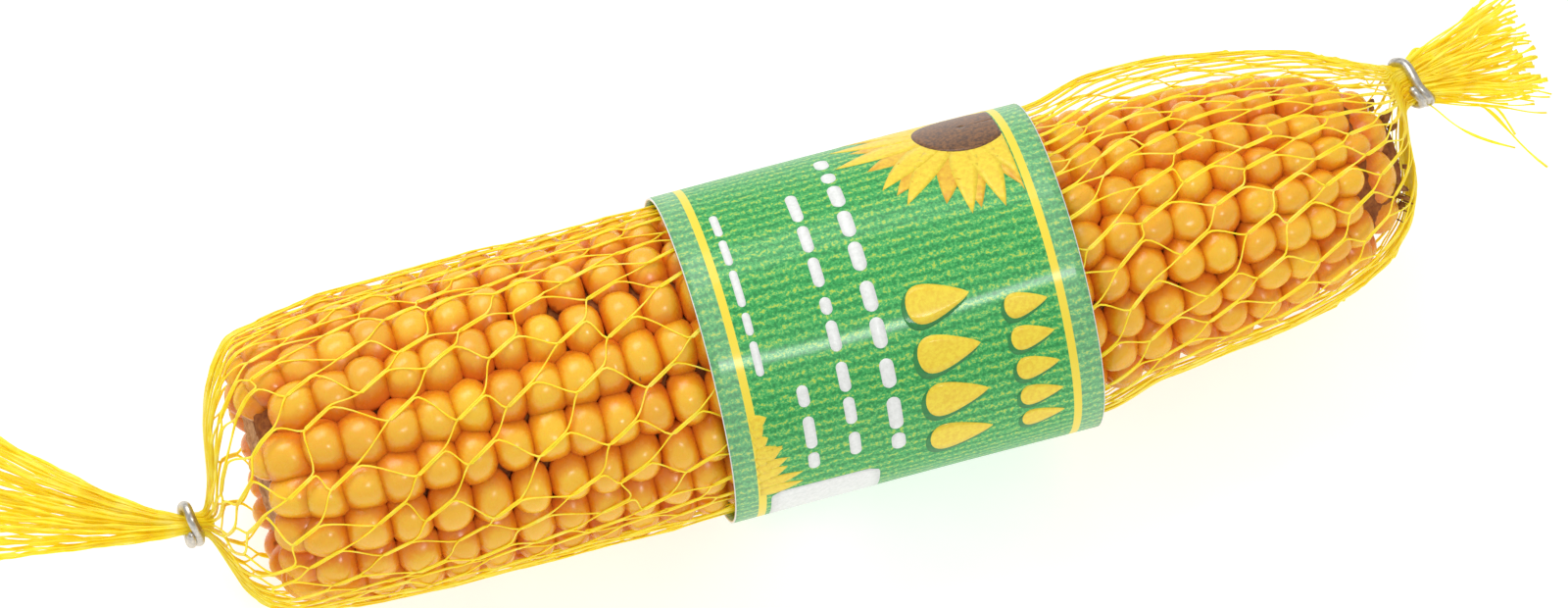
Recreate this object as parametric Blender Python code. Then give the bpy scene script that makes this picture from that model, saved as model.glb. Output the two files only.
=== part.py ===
"""A dried maize ear in a gathered net tube, with a paper sleeve and two wire clips.

Lengths are in metres. +X runs along the ear from its butt to its tip, +Z is up, and the origin is the
middle of the flat on which the sleeve rests.
"""

import math

import bmesh
import bpy
from mathutils import Vector

MM = 0.001
TURN = 2.0 * math.pi

# The ear. Its outline is the radius over the kernels' crowns along the axis, as (x, radius) in
# millimetres. Its tip swings a little to one side.
AXIS_HEIGHT = 24.4 * MM
EAR_START = -95.0 * MM
EAR_END = 81.0 * MM
EAR_OUTLINE = (
    (-95.0, 14.5),
    (-91.0, 20.2),
    (-84.0, 22.1),
    (-75.0, 23.0),
    (-65.0, 23.2),
    (-25.0, 23.2),
    (3.0, 22.5),
    (31.0, 21.1),
    (48.0, 19.8),
    (60.0, 18.4),
    (69.0, 16.2),
    (75.0, 13.4),
    (79.0, 9.8),
    (81.0, 7.6),
)
BEND_START = -2.0 * MM
BEND_AT_TIP = 3.2 * MM
BEND_POWER = 1.5

# The kernels, as a share of each cell that is crown, and the woody pith at both cut ends.
KERNEL_ROWS = 18
KERNEL_PITCH = 5.0 * MM
KERNEL_GROOVE = 1.5 * MM
CROWN_SHARE = 0.62
PITH_RIM = 2.5 * MM
PITH_SLOPE = 1.25 * MM
PITH_DEPTH = 1.2 * MM

# The sleeve, which is rolled from paper and pressed flat where it rests.
SLEEVE_LENGTH = 56.0 * MM
SLEEVE_RADIUS = 24.7 * MM
SLEEVE_WALL = 0.35 * MM
SLEEVE_FACETS = 60

# The net. Each station is x, half its size across Y, half its size along Z, and its middle's offsets
# in Y and Z from the ear's axis, in millimetres. The necks are the narrow stations.
NET_STATIONS = (
    (-139.0, 11.0, 4.6, 11.5, -2.0),
    (-123.0, 7.6, 3.8, 6.0, -2.8),
    (-111.0, 3.4, 3.0, -0.6, -4.0),
    (-106.5, 1.3, 3.0, -2.6, -4.2),
    (-102.5, 1.3, 3.0, -3.6, -4.4),
    (-100.5, 5.5, 7.5, -4.2, -3.6),
    (-98.8, 12.5, 14.0, -2.6, -2.2),
    (-96.3, 17.5, 17.8, -1.4, -1.0),
    (-92.0, 21.8, 21.8, -0.4, 0.0),
    (-85.0, 23.4, 23.2, -0.1, 0.0),
    (-75.0, 24.0, 24.0, 0.0, 0.0),
    (-25.0, 24.0, 24.0, 0.0, 0.0),
    (31.0, 23.9, 23.7, 0.0, 0.0),
    (40.0, 23.4, 22.9, 1.7, 0.3),
    (51.0, 22.7, 21.9, 2.5, 0.6),
    (60.0, 21.3, 20.6, 2.6, 0.7),
    (69.0, 19.0, 18.3, 2.8, 0.8),
    (75.0, 16.4, 15.6, 3.0, 0.8),
    (79.5, 13.6, 12.6, 4.0, 1.0),
    (82.5, 10.2, 9.2, 5.8, 1.4),
    (84.2, 3.6, 3.2, 11.2, 1.9),
    (85.3, 2.6, 1.3, 12.9, 2.1),
    (89.0, 2.6, 1.3, 13.4, 2.2),
    (95.0, 4.6, 2.6, 13.6, 2.4),
    (107.5, 8.2, 4.4, 13.6, 2.8),
)
NET_OPEN_FROM = 6
NET_OPEN_TO = 19
NET_AROUND = 12
NET_CELL_MM = 15.0
NET_WALL = 0.4 * MM
NET_LOWEST = -23.8 * MM
STRAND_SHARE = 0.14

# The clips: soft wire wound a little over one turn round each neck.
CLIP_PLACES = {"clip_butt_end": -104.5 * MM, "clip_tip_end": 87.1 * MM}
WIRE_RADIUS = 0.72 * MM
CLIP_CLEARANCE = 0.35 * MM
CLIP_TURNS = 1.3
CLIP_ADVANCE = 1.8 * MM
CLIP_POINTS = 22

KERNEL_COLOUR = (0.78, 0.40, 0.04, 1.0)
NET_COLOUR = (0.92, 0.62, 0.02, 1.0)
PAPER_COLOUR = (0.10, 0.48, 0.13, 1.0)
WIRE_COLOUR = (0.55, 0.54, 0.52, 1.0)


def clear_scene():
    for obj in list(bpy.data.objects):
        bpy.data.objects.remove(obj, do_unlink=True)


def make_material(name, colour, roughness, metallic=0.0):
    material = bpy.data.materials.new(name)
    material.use_nodes = True
    shader = material.node_tree.nodes["Principled BSDF"]
    shader.inputs["Base Color"].default_value = colour
    shader.inputs["Roughness"].default_value = roughness
    shader.inputs["Metallic"].default_value = metallic
    return material


def add_object(name, data, material, parent, place):
    obj = bpy.data.objects.new(name, data)
    bpy.context.scene.collection.objects.link(obj)
    data.materials.append(material)
    obj.parent = parent
    obj.location = place
    return obj


def finish_mesh(bm, name):
    """The bmesh as a smooth-shaded mesh with its faces turned out."""
    bmesh.ops.recalc_face_normals(bm, faces=bm.faces)
    for face in bm.faces:
        face.smooth = True
    mesh = bpy.data.meshes.new(name)
    bm.to_mesh(mesh)
    bm.free()
    return mesh


def between(table, x):
    """The table's row at x without its first value, on straight lines between the rows."""
    if x <= table[0][0]:
        return table[0][1:]
    for low, high in zip(table, table[1:]):
        if x <= high[0]:
            share = (x - low[0]) / (high[0] - low[0])
            return tuple(a + share * (b - a) for a, b in zip(low[1:], high[1:]))
    return table[-1][1:]


def add_ring(bm, points):
    return [bm.verts.new(point) for point in points]


def join_rings(bm, first, second):
    for here in range(len(first)):
        after = (here + 1) % len(first)
        bm.faces.new((first[here], first[after], second[after], second[here]))


# ---------------------------------------------------------------- the ear


def bend(x):
    """How far the ear's axis has swung towards +Y at x."""
    along = max(0.0, x - BEND_START) / (EAR_END - BEND_START)
    return BEND_AT_TIP * along**BEND_POWER


def ear_point(x, angle, depth):
    """A point this far below the crowns. Angle 0 is underneath."""
    radius = between(EAR_OUTLINE, x / MM)[0] * MM - depth
    return (x, bend(x) + radius * math.sin(angle), -radius * math.cos(angle))


def groove_ring(bm, x):
    """One vertex in each groove between two rows."""
    step = TURN / KERNEL_ROWS
    return add_ring(bm, [ear_point(x, (row - 0.5) * step, KERNEL_GROOVE) for row in range(KERNEL_ROWS)])


def crown_ring(bm, x):
    """Two vertices for each row, at the two edges of a crown."""
    step = TURN / KERNEL_ROWS
    half = CROWN_SHARE / 2.0
    turns = [row + side * half for row in range(KERNEL_ROWS) for side in (-1, 1)]
    return add_ring(bm, [ear_point(x, turn * step, 0.0) for turn in turns])


def raise_kernels(bm, groove_before, near, far, groove_after):
    """One kernel in each row: a flat crown with four sides that slope down to the grooves."""
    for row in range(KERNEL_ROWS):
        after = (row + 1) % KERNEL_ROWS
        corners = (groove_before[row], groove_before[after], groove_after[after], groove_after[row])
        crown = (near[2 * row], near[2 * row + 1], far[2 * row + 1], far[2 * row])
        bm.faces.new(crown)
        join_rings(bm, corners, crown)


def shrunk_ring(bm, ring, inset, shift):
    centre = sum((vert.co for vert in ring), Vector()) / len(ring)
    radius = (ring[0].co - centre).length
    offset = Vector((shift, 0.0, 0.0))
    return add_ring(bm, [centre + (vert.co - centre) * (1.0 - inset / radius) + offset for vert in ring])


def close_end(bm, groove, inward):
    """One end of the ear: a rim, then a face of pith sunk a little between the last kernels."""
    rim = shrunk_ring(bm, groove, PITH_RIM, 0.0)
    pith = shrunk_ring(bm, rim, PITH_SLOPE, inward * PITH_DEPTH)
    join_rings(bm, groove, rim)
    join_rings(bm, rim, pith)
    bm.faces.new(pith)


def make_cob(material, parent):
    """The ear as it grew: kernels in straight rows, and the woody pith showing at both ends."""
    bm = bmesh.new()
    count = round((EAR_END - EAR_START) / KERNEL_PITCH)
    pitch = (EAR_END - EAR_START) / count
    half_crown = pitch * CROWN_SHARE / 2.0
    grooves = [groove_ring(bm, EAR_START + index * pitch) for index in range(count + 1)]
    for index in range(count):
        middle = EAR_START + (index + 0.5) * pitch
        near = crown_ring(bm, middle - half_crown)
        far = crown_ring(bm, middle + half_crown)
        raise_kernels(bm, grooves[index], near, far, grooves[index + 1])
    close_end(bm, grooves[0], 1.0)
    close_end(bm, grooves[-1], -1.0)
    add_object("cob", finish_mesh(bm, "cob"), material, parent, (0.0, 0.0, AXIS_HEIGHT))


# ---------------------------------------------------------------- the sleeve


def sleeve_outline(x):
    """Points round the sleeve at x. The first and last are the two edges of its flat."""
    edge = math.acos(AXIS_HEIGHT / SLEEVE_RADIUS)
    step = (TURN - 2.0 * edge) / (SLEEVE_FACETS - 1)
    angles = [edge + index * step for index in range(SLEEVE_FACETS)]
    return [(x, SLEEVE_RADIUS * math.sin(angle), -SLEEVE_RADIUS * math.cos(angle)) for angle in angles]


def make_sleeve(material, parent):
    """A round paper sleeve, flat underneath where the whole pack rests."""
    bm = bmesh.new()
    ends = [add_ring(bm, sleeve_outline(side * SLEEVE_LENGTH / 2.0)) for side in (-1, 1)]
    join_rings(bm, ends[0], ends[1])
    sleeve = add_object("sleeve", finish_mesh(bm, "sleeve"), material, parent, (0.0, 0.0, AXIS_HEIGHT))
    wall = sleeve.modifiers.new("wall", "SOLIDIFY")
    wall.thickness = SLEEVE_WALL
    wall.offset = -1.0
    wall.use_even_offset = True


# ---------------------------------------------------------------- the net


def stations_by_length():
    """The stations, each after its length along the net's outline in millimetres."""
    table = [(0.0, *NET_STATIONS[0])]
    for low, high in zip(NET_STATIONS, NET_STATIONS[1:]):
        rise = (high[1] + high[2] - low[1] - low[2]) / 2.0
        table.append((table[-1][0] + math.hypot(high[0] - low[0], rise), *high))
    return table


def net_point(table, length, turn, inset):
    """A point of the net, counting turn in nodes round it. An inset of the wall is its inner face."""
    x, half_y, half_z, off_y, off_z = (value * MM for value in between(table, length))
    angle = TURN * turn / NET_AROUND
    y = off_y + (half_y - inset) * math.sin(angle)
    z = off_z - (half_z - inset) * math.cos(angle)
    return (x, y, max(z, NET_LOWEST + inset))


def node_rings(table):
    """(length, half) for each ring of nodes, and the first and last ring of the open meshes.

    In the open part every second ring is turned by half a mesh.
    """
    start = table[NET_OPEN_FROM][0]
    end = table[NET_OPEN_TO][0]
    count = 2 * round((end - start) / NET_CELL_MM)
    before = [(row[0], 0.0) for row in table[:NET_OPEN_FROM]]
    after = [(row[0], 0.0) for row in table[NET_OPEN_TO + 1 :]]
    middle = [(start + (end - start) * index / count, 0.5 * (index % 2)) for index in range(count + 1)]
    return before + middle + after, len(before), len(before) + count


def net_side(bm, table, rings, first, last, inset):
    """The vertices of one face of the net, with its closed necks and tails."""
    side = []
    for length, half in rings:
        points = [net_point(table, length, index + half, inset) for index in range(NET_AROUND)]
        side.append(add_ring(bm, points))
    for index in (*range(first), *range(last, len(rings) - 1)):
        join_rings(bm, side[index], side[index + 1])
    for plain, staggered in ((side[first], side[first + 1]), (side[last], side[last - 1])):
        for turn in range(NET_AROUND):
            after = (turn + 1) % NET_AROUND
            bm.faces.new((plain[turn], plain[after], staggered[turn]))
    return side


def open_mesh(bm, table, rings, sides, index, turn):
    """Four strands round one hole, whose left and right nodes are neighbours in ring index."""
    half = rings[index][1]
    across = turn + round(2 * half)
    nodes = (
        (index, turn, turn + half),
        (index - 1, across, turn + half + 0.5),
        (index, turn + 1, turn + half + 1.0),
        (index + 1, across, turn + half + 0.5),
    )
    middle_length = rings[index][0]
    middle_turn = turn + half + 0.5
    holes = []
    for side, inset in zip(sides, (0.0, NET_WALL)):
        corners = [side[ring][vert % NET_AROUND] for ring, vert, _ in nodes]
        hole = []
        for ring, _, place in nodes:
            length = rings[ring][0] + STRAND_SHARE * (middle_length - rings[ring][0])
            moved = place + STRAND_SHARE * (middle_turn - place)
            hole.append(bm.verts.new(net_point(table, length, moved, inset)))
        join_rings(bm, corners, hole)
        holes.append(hole)
    join_rings(bm, holes[0], holes[1])


def make_net(material, parent):
    """The net: open meshes over the ear, and a closed gathered neck and tail at each end."""
    bm = bmesh.new()
    table = stations_by_length()
    rings, first, last = node_rings(table)
    sides = [net_side(bm, table, rings, first, last, inset) for inset in (0.0, NET_WALL)]
    for index in range(first + 1, last):
        for turn in range(NET_AROUND):
            open_mesh(bm, table, rings, sides, index, turn)
    join_rings(bm, sides[0][0], sides[1][0])
    join_rings(bm, sides[0][-1], sides[1][-1])
    add_object("net", finish_mesh(bm, "net"), material, parent, (0.0, 0.0, AXIS_HEIGHT))


# ---------------------------------------------------------------- the clips


def make_clip(name, x, material, parent):
    """Wire wound round one neck of the net, with its two ends lying side by side."""
    half_y, half_z, off_y, off_z = (value * MM for value in between(NET_STATIONS, x / MM))
    reach = CLIP_CLEARANCE + WIRE_RADIUS
    curve = bpy.data.curves.new(name, "CURVE")
    curve.dimensions = "3D"
    curve.bevel_depth = WIRE_RADIUS
    curve.bevel_resolution = 2
    curve.use_fill_caps = True
    spline = curve.splines.new("POLY")
    spline.points.add(CLIP_POINTS - 1)
    for index, point in enumerate(spline.points):
        along = index / (CLIP_POINTS - 1) - 0.5
        angle = TURN * CLIP_TURNS * along
        y = (half_y + reach) * math.sin(angle)
        z = -(half_z + reach) * math.cos(angle)
        point.co = (CLIP_ADVANCE * along, y, z, 1.0)
    spline.use_smooth = True
    add_object(name, curve, material, parent, (x, off_y, AXIS_HEIGHT + off_z))


def main():
    clear_scene()
    pack = bpy.data.objects.new("ear_pack", None)
    bpy.context.scene.collection.objects.link(pack)
    make_cob(make_material("kernel", KERNEL_COLOUR, 0.35), pack)
    make_net(make_material("net", NET_COLOUR, 0.4), pack)
    make_sleeve(make_material("paper", PAPER_COLOUR, 0.25), pack)
    for name, x in CLIP_PLACES.items():
        make_clip(name, x, make_material(name, WIRE_COLOUR, 0.4, 1.0), pack)


main()
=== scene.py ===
"""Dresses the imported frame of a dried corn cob: kernels, core, net, wire clips and printed sleeve."""

import math
import random

import bpy
import numpy as np
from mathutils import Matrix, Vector
from mathutils.bvhtree import BVHTree


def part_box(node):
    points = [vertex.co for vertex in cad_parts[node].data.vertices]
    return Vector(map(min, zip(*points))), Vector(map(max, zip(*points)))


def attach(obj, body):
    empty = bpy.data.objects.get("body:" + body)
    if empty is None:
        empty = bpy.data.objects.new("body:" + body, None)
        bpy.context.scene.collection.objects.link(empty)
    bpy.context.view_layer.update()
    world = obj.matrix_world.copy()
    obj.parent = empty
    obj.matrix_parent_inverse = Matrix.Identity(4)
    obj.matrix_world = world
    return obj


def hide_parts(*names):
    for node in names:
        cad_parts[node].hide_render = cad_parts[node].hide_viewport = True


bl_info = {
    "name": "Netted corn cob",
    "version": (1, 0, 0),
    "blender": (4, 5, 0),
    "location": "View3D > Sidebar > Corn cob",
    "description": "Builds a dried corn cob in a tied net with a printed paper sleeve",
    "category": "Object",
}

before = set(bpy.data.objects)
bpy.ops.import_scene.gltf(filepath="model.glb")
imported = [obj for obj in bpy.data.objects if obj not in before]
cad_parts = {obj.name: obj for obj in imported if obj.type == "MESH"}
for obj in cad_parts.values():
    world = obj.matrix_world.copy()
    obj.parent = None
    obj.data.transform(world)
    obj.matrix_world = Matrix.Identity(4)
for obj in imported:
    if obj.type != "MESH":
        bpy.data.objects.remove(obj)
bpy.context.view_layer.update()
COB_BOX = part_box("cob")
SLEEVE_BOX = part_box("sleeve")
BUTT_CLIP_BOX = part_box("clip_butt_end")
TIP_CLIP_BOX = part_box("clip_tip_end")

MM = 0.001
# The sleeve is a round tube with a flat underneath, so its width gives the axis height.
SLEEVE_RADIUS = (SLEEVE_BOX[1].y - SLEEVE_BOX[0].y) / 2 / MM
AXIS_HEIGHT = SLEEVE_BOX[1].z / MM - SLEEVE_RADIUS
SLEEVE_START = SLEEVE_BOX[0].x / MM
SLEEVE_END = SLEEVE_BOX[1].x / MM
EAR_START = COB_BOX[0].x / MM
EAR_END = COB_BOX[1].x / MM
BUTT_CLIP_X = (BUTT_CLIP_BOX[0].x + BUTT_CLIP_BOX[1].x) / 2 / MM
TIP_CLIP_X = (TIP_CLIP_BOX[0].x + TIP_CLIP_BOX[1].x) / 2 / MM

# Distance along the ear and radius over the kernel crowns, in millimetres.
EAR_OUTLINE = (
    (-95.0, 14.5), (-94.0, 17.2), (-91.0, 20.2), (-84.0, 22.1), (-75.0, 23.0), (-65.0, 23.2),
    (-25.0, 23.2), (3.0, 22.5), (31.0, 21.1), (48.0, 19.8), (60.0, 18.4), (69.0, 16.2),
    (75.0, 13.4), (79.0, 9.8), (81.0, 7.6),
)
# Distance along the ear, half width, half height, and offsets to the side and up, in millimetres.
NET_STATIONS = (
    (-106.5, 1.3, 2.0, -2.6, -4.2), (-102.5, 1.5, 2.4, -3.6, -4.4),
    (-100.5, 5.5, 7.5, -4.2, -3.6), (-98.8, 12.5, 14.0, -2.6, -2.2),
    (-96.3, 17.5, 17.8, -1.4, -1.0), (-92.0, 21.8, 21.8, -0.4, 0.0),
    (-85.0, 23.4, 23.2, -0.1, 0.0), (-75.0, 24.0, 24.0, 0.0, 0.0),
    (-25.0, 24.0, 24.0, 0.0, 0.0), (29.0, 24.0, 23.7, 0.5, 0.0),
    (40.0, 24.0, 22.9, 3.0, 0.3), (51.0, 23.2, 21.9, 3.5, 0.6),
    (60.0, 21.8, 20.6, 3.2, 0.7), (69.0, 19.5, 18.3, 3.3, 0.8),
    (75.0, 16.8, 15.4, 3.5, 0.8), (79.5, 13.9, 11.8, 4.4, 1.0),
    (82.5, 10.6, 7.4, 6.5, 1.4), (84.2, 6.0, 3.2, 10.8, 1.9),
    (85.5, 3.5, 1.7, 12.9, 2.1), (89.0, 3.3, 1.5, 13.4, 2.2),
)
# Where along the ear and at which angle a kernel is missing, in millimetres and degrees.
BARE_SPOTS = ((-90.3, 188.0, 4.1), (-85.0, 20.0, 2.8))
# Where the kernels stand apart and leave a dark chink, as place, angle and reach.
CHINKS = ((-85.3, 212.5, 1.9), (-58.0, 231.0, 1.0), (63.0, 148.0, 1.0))
# How far past its reach a chink still pushes kernels aside, in mm, and what share of the way.
CHINK_MARGIN = 4.5
CHINK_PUSH = 0.95
# The angle round the ear, in degrees from underneath, of the shown side, where the print has its middle.
SHOWN_SIDE = 205.0
# The tip leans aside: from where, over what length and how far, in mm, and how sharply.
LEAN_FROM = -2.0
LEAN_LENGTH = 83.0
LEAN_AT_TIP = 3.2
LEAN_POWER = 1.5
# Distance along the ear and the kernels' spacing there, in millimetres, for the usual pitch.
KERNEL_PITCH = (
    (-95, 5.8), (-87, 6.5), (-77, 6.0), (-57, 5.4), (3, 5.1), (31, 5.6), (63, 5.8), (75, 5.5), (81, 5.0),
)
USUAL_PITCH = 5.0
# Rows join in pairs where the ear's radius is under this, in mm.
JOINED_ROWS_RADIUS = 13.4
TIP_KERNELS = 7
DENTED_SHARE = 0.28
CHAFF_COUNT = 74
TIP_CHAFF_COUNT = 30
# Thickness of the sleeve's paper in mm, and the angle round the ear where its seam starts.
WALL = 0.35
SEAM_ANGLE = math.radians(42)


def linear(hex_colour):
    """The linear colour of an sRGB hex value."""
    channels = [int(hex_colour[i:i + 2], 16) / 255 for i in (1, 3, 5)]
    return [c / 12.92 if c <= 0.04045 else ((c + 0.055) / 1.055) ** 2.4 for c in channels] + [1.0]


def smooth_through(rows):
    """A function that runs smoothly through rows of (position, values), with no overshoot."""
    table = np.array(rows, float)
    at = table[:, 0]
    value = table[:, 1:]
    secant = np.diff(value, axis=0) / np.diff(at)[:, None]
    slope = np.zeros_like(value)
    slope[0] = secant[0]
    slope[-1] = secant[-1]
    same = secant[:-1] * secant[1:] > 0
    both = np.where(same, secant[:-1] + secant[1:], 1.0)
    slope[1:-1] = np.where(same, 2 * secant[:-1] * secant[1:] / both, 0.0)

    def place(position):
        """The values at this position."""
        position = np.clip(np.asarray(position, float), at[0], at[-1])
        i = np.clip(np.searchsorted(at, position, side="right") - 1, 0, len(at) - 2)
        step = (at[i + 1] - at[i])[..., None]
        t = ((position - at[i]))[..., None] / step
        start = (1 + 2 * t) * (1 - t) ** 2 * value[i] + t * (1 - t) ** 2 * step * slope[i]
        end = t * t * (3 - 2 * t) * value[i + 1] + t * t * (t - 1) * step * slope[i + 1]
        return start + end

    return place


ear_radius = smooth_through(EAR_OUTLINE)
net_station = smooth_through(NET_STATIONS)


def ear_bend(x):
    """How far the ear's middle has bent to the side at this distance along it."""
    past = np.clip(np.asarray(x, float) - LEAN_FROM, 0.0, None)
    return LEAN_AT_TIP * (past / LEAN_LENGTH) ** LEAN_POWER


def new_mesh(name, points, faces, body="root"):
    """A smooth-shaded mesh object from points in millimetres that rides on the CAD body."""
    mesh = bpy.data.meshes.new(name)
    mesh.from_pydata((np.asarray(points, float) * MM).tolist(), [], faces)
    mesh.update()
    mesh.shade_smooth()
    made = bpy.data.objects.new(name, mesh)
    bpy.context.scene.collection.objects.link(made)
    if body:
        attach(made, body)
    return made


def store(obj, name, values):
    """Keeps one number per point on the mesh for its material to read."""
    layer = obj.data.attributes.new(name, "FLOAT", "POINT")
    layer.data.foreach_set("value", np.asarray(values, np.float32))


def new_material(name):
    """A material with a Principled shader, and its node tree and shader."""
    made = bpy.data.materials.new(name)
    made.use_nodes = True
    shader = made.node_tree.nodes["Principled BSDF"]
    return made, made.node_tree, shader


def add_node(tree, kind, settings, links):
    """Adds a node, sets its properties, and fills its inputs with numbers or with other nodes' outputs."""
    node = tree.nodes.new(kind)
    for name, value in settings.items():
        setattr(node, name, value)
    for name, value in links.items():
        if isinstance(value, bpy.types.NodeSocket):
            tree.links.new(value, node.inputs[name])
        else:
            node.inputs[name].default_value = value
    return node


def set_ramp(node, stops):
    """Gives a colour ramp its stops, each a place and a hex colour."""
    ramp = node.color_ramp
    while len(ramp.elements) > 1:
        ramp.elements.remove(ramp.elements[-1])
    ramp.elements[0].position = stops[0][0]
    ramp.elements[0].color = linear(stops[0][1])
    for place, colour in stops[1:]:
        ramp.elements.new(place).color = linear(colour)


def tube_faces(rings, sides, first=0, closed_ends=True):
    """The faces of a tube of rings of points."""
    faces = []
    for r in range(rings - 1):
        for s in range(sides):
            a = first + r * sides + s
            b = first + r * sides + (s + 1) % sides
            faces.append((a, b, b + sides, a + sides))
    if closed_ends:
        faces.append(tuple(first + s for s in reversed(range(sides))))
        faces.append(tuple(first + (rings - 1) * sides + s for s in range(sides)))
    return faces


def tube(path, widths, heights, upward, sides=6):
    """Points of a tube along a path, with its half width and half height at each point."""
    path = np.asarray(path, float)
    along = np.gradient(path, axis=0)
    along /= np.linalg.norm(along, axis=1)[:, None] + 1e-12
    side = np.cross(along, upward)
    side /= np.linalg.norm(side, axis=1)[:, None] + 1e-12
    up = np.cross(side, along)
    turn = np.arange(sides) * math.tau / sides
    across = np.cos(turn)[None, :, None] * side[:, None, :] * np.asarray(widths)[:, None, None]
    rise = np.sin(turn)[None, :, None] * up[:, None, :] * np.asarray(heights)[:, None, None]
    return (path[:, None, :] + across + rise).reshape(-1, 3)


# ---------------------------------------------------------------- materials


def seed_coat_material(look):
    """Dried yellow maize, as grown: a thin waxy seed coat over horny starch, with a pale floury crown.
    It gives a soft gloss, a pale golden oval on top and deep orange flanks where light soaks through. The
    orange deepens down each kernel into the grooves between rows, partly the kernel's own colour and partly
    painted shade."""
    made, tree, shader = new_material("dried_maize_seed_coat")
    crown = add_node(tree, "ShaderNodeAttribute", {"attribute_name": "crown"}, {})
    tint = add_node(tree, "ShaderNodeAttribute", {"attribute_name": "tint"}, {})
    place = add_node(tree, "ShaderNodeTexCoord", {}, {})
    # Floury mottling about 1.5 mm across.
    mottle = add_node(tree, "ShaderNodeTexNoise", {}, {
        "Vector": place.outputs["Object"], "Scale": 650.0, "Detail": 3.0, "Roughness": 0.6,
    })
    shift = add_node(tree, "ShaderNodeMath", {"operation": "MULTIPLY_ADD"}, {
        0: mottle.outputs["Fac"], 1: 0.26, 2: -0.13,
    })
    height = add_node(tree, "ShaderNodeMath", {"operation": "ADD"}, {
        0: crown.outputs["Fac"], 1: shift.outputs[0],
    })
    colour = add_node(tree, "ShaderNodeValToRGB", {}, {"Fac": height.outputs[0]})
    # The ramp darkens from the pale crown down into the grooves: partly the kernels' own deeper orange,
    # partly painted shade between the rows.
    set_ramp(colour, (
        (0.02, look.groove_colour_and_shade), (0.26, look.flank_colour_and_shade), (0.52, look.side_colour),
        (0.72, look.body_colour), (0.90, look.crown_colour),
    ))
    hue = add_node(tree, "ShaderNodeMath", {"operation": "MULTIPLY_ADD"}, {
        0: tint.outputs["Fac"], 1: 0.011, 2: 0.5,
    })
    value = add_node(tree, "ShaderNodeMath", {"operation": "MULTIPLY_ADD"}, {
        0: tint.outputs["Fac"], 1: 0.07, 2: 1.0,
    })
    varied = add_node(tree, "ShaderNodeHueSaturation", {}, {
        "Hue": hue.outputs[0], "Value": value.outputs[0], "Color": colour.outputs["Color"],
    })
    # Dark red stains where the coat joins the cob: the peaks of a pattern 2.6 mm across.
    stain = add_node(tree, "ShaderNodeTexNoise", {}, {
        "Vector": place.outputs["Object"], "Scale": 380.0, "Detail": 2.0,
    })
    stain_cut = add_node(tree, "ShaderNodeMapRange", {}, {
        "Value": stain.outputs["Fac"], "From Min": 0.62, "From Max": 0.70,
    })
    low = add_node(tree, "ShaderNodeMapRange", {}, {
        "Value": crown.outputs["Fac"], "From Min": 0.34, "From Max": 0.10,
    })
    stain_share = add_node(tree, "ShaderNodeMath", {"operation": "MULTIPLY"}, {
        0: stain_cut.outputs[0], 1: low.outputs[0],
    })
    stained = add_node(tree, "ShaderNodeMix", {"data_type": "RGBA"}, {
        0: stain_share.outputs[0], 6: varied.outputs["Color"], 7: linear("#7A2A16"),
    })
    tree.links.new(stained.outputs[2], shader.inputs["Base Color"])
    # Fine shrinkage wrinkles, drawn at 0.4 mm so that they show at all.
    wrinkle = add_node(tree, "ShaderNodeTexNoise", {}, {
        "Vector": place.outputs["Object"], "Scale": 2300.0, "Detail": 2.0,
    })
    bump = add_node(tree, "ShaderNodeBump", {}, {
        "Strength": 0.12, "Distance": 0.0001, "Height": wrinkle.outputs["Fac"],
    })
    tree.links.new(bump.outputs["Normal"], shader.inputs["Normal"])
    gloss = add_node(tree, "ShaderNodeMapRange", {}, {
        "Value": mottle.outputs["Fac"], "From Min": 0.3, "From Max": 0.7, "To Min": 0.21, "To Max": 0.32,
    })
    tree.links.new(gloss.outputs[0], shader.inputs["Roughness"])
    shader.inputs["IOR"].default_value = 1.48
    shader.inputs["Subsurface Weight"].default_value = 0.28
    shader.inputs["Subsurface Radius"].default_value = (1.0, 0.45, 0.10)
    shader.inputs["Subsurface Scale"].default_value = 0.0016
    return made


def cob_wood_material(name, deep, pale):
    """The cob's own lignified wood and dry chaff, broken and unpolished. It gives a dull, fibrous brown."""
    made, tree, shader = new_material(name)
    place = add_node(tree, "ShaderNodeTexCoord", {}, {})
    # Fibre clumps about 1 mm across.
    clump = add_node(tree, "ShaderNodeTexNoise", {}, {
        "Vector": place.outputs["Object"], "Scale": 900.0, "Detail": 5.0, "Roughness": 0.7,
    })
    colour = add_node(tree, "ShaderNodeValToRGB", {}, {"Fac": clump.outputs["Fac"]})
    set_ramp(colour, ((0.32, deep), (0.68, pale)))
    tree.links.new(colour.outputs["Color"], shader.inputs["Base Color"])
    bump = add_node(tree, "ShaderNodeBump", {}, {
        "Strength": 0.7, "Distance": 0.0004, "Height": clump.outputs["Fac"],
    })
    tree.links.new(bump.outputs["Normal"], shader.inputs["Normal"])
    shader.inputs["Roughness"].default_value = 0.88
    shader.inputs["IOR"].default_value = 1.45
    return made


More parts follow.
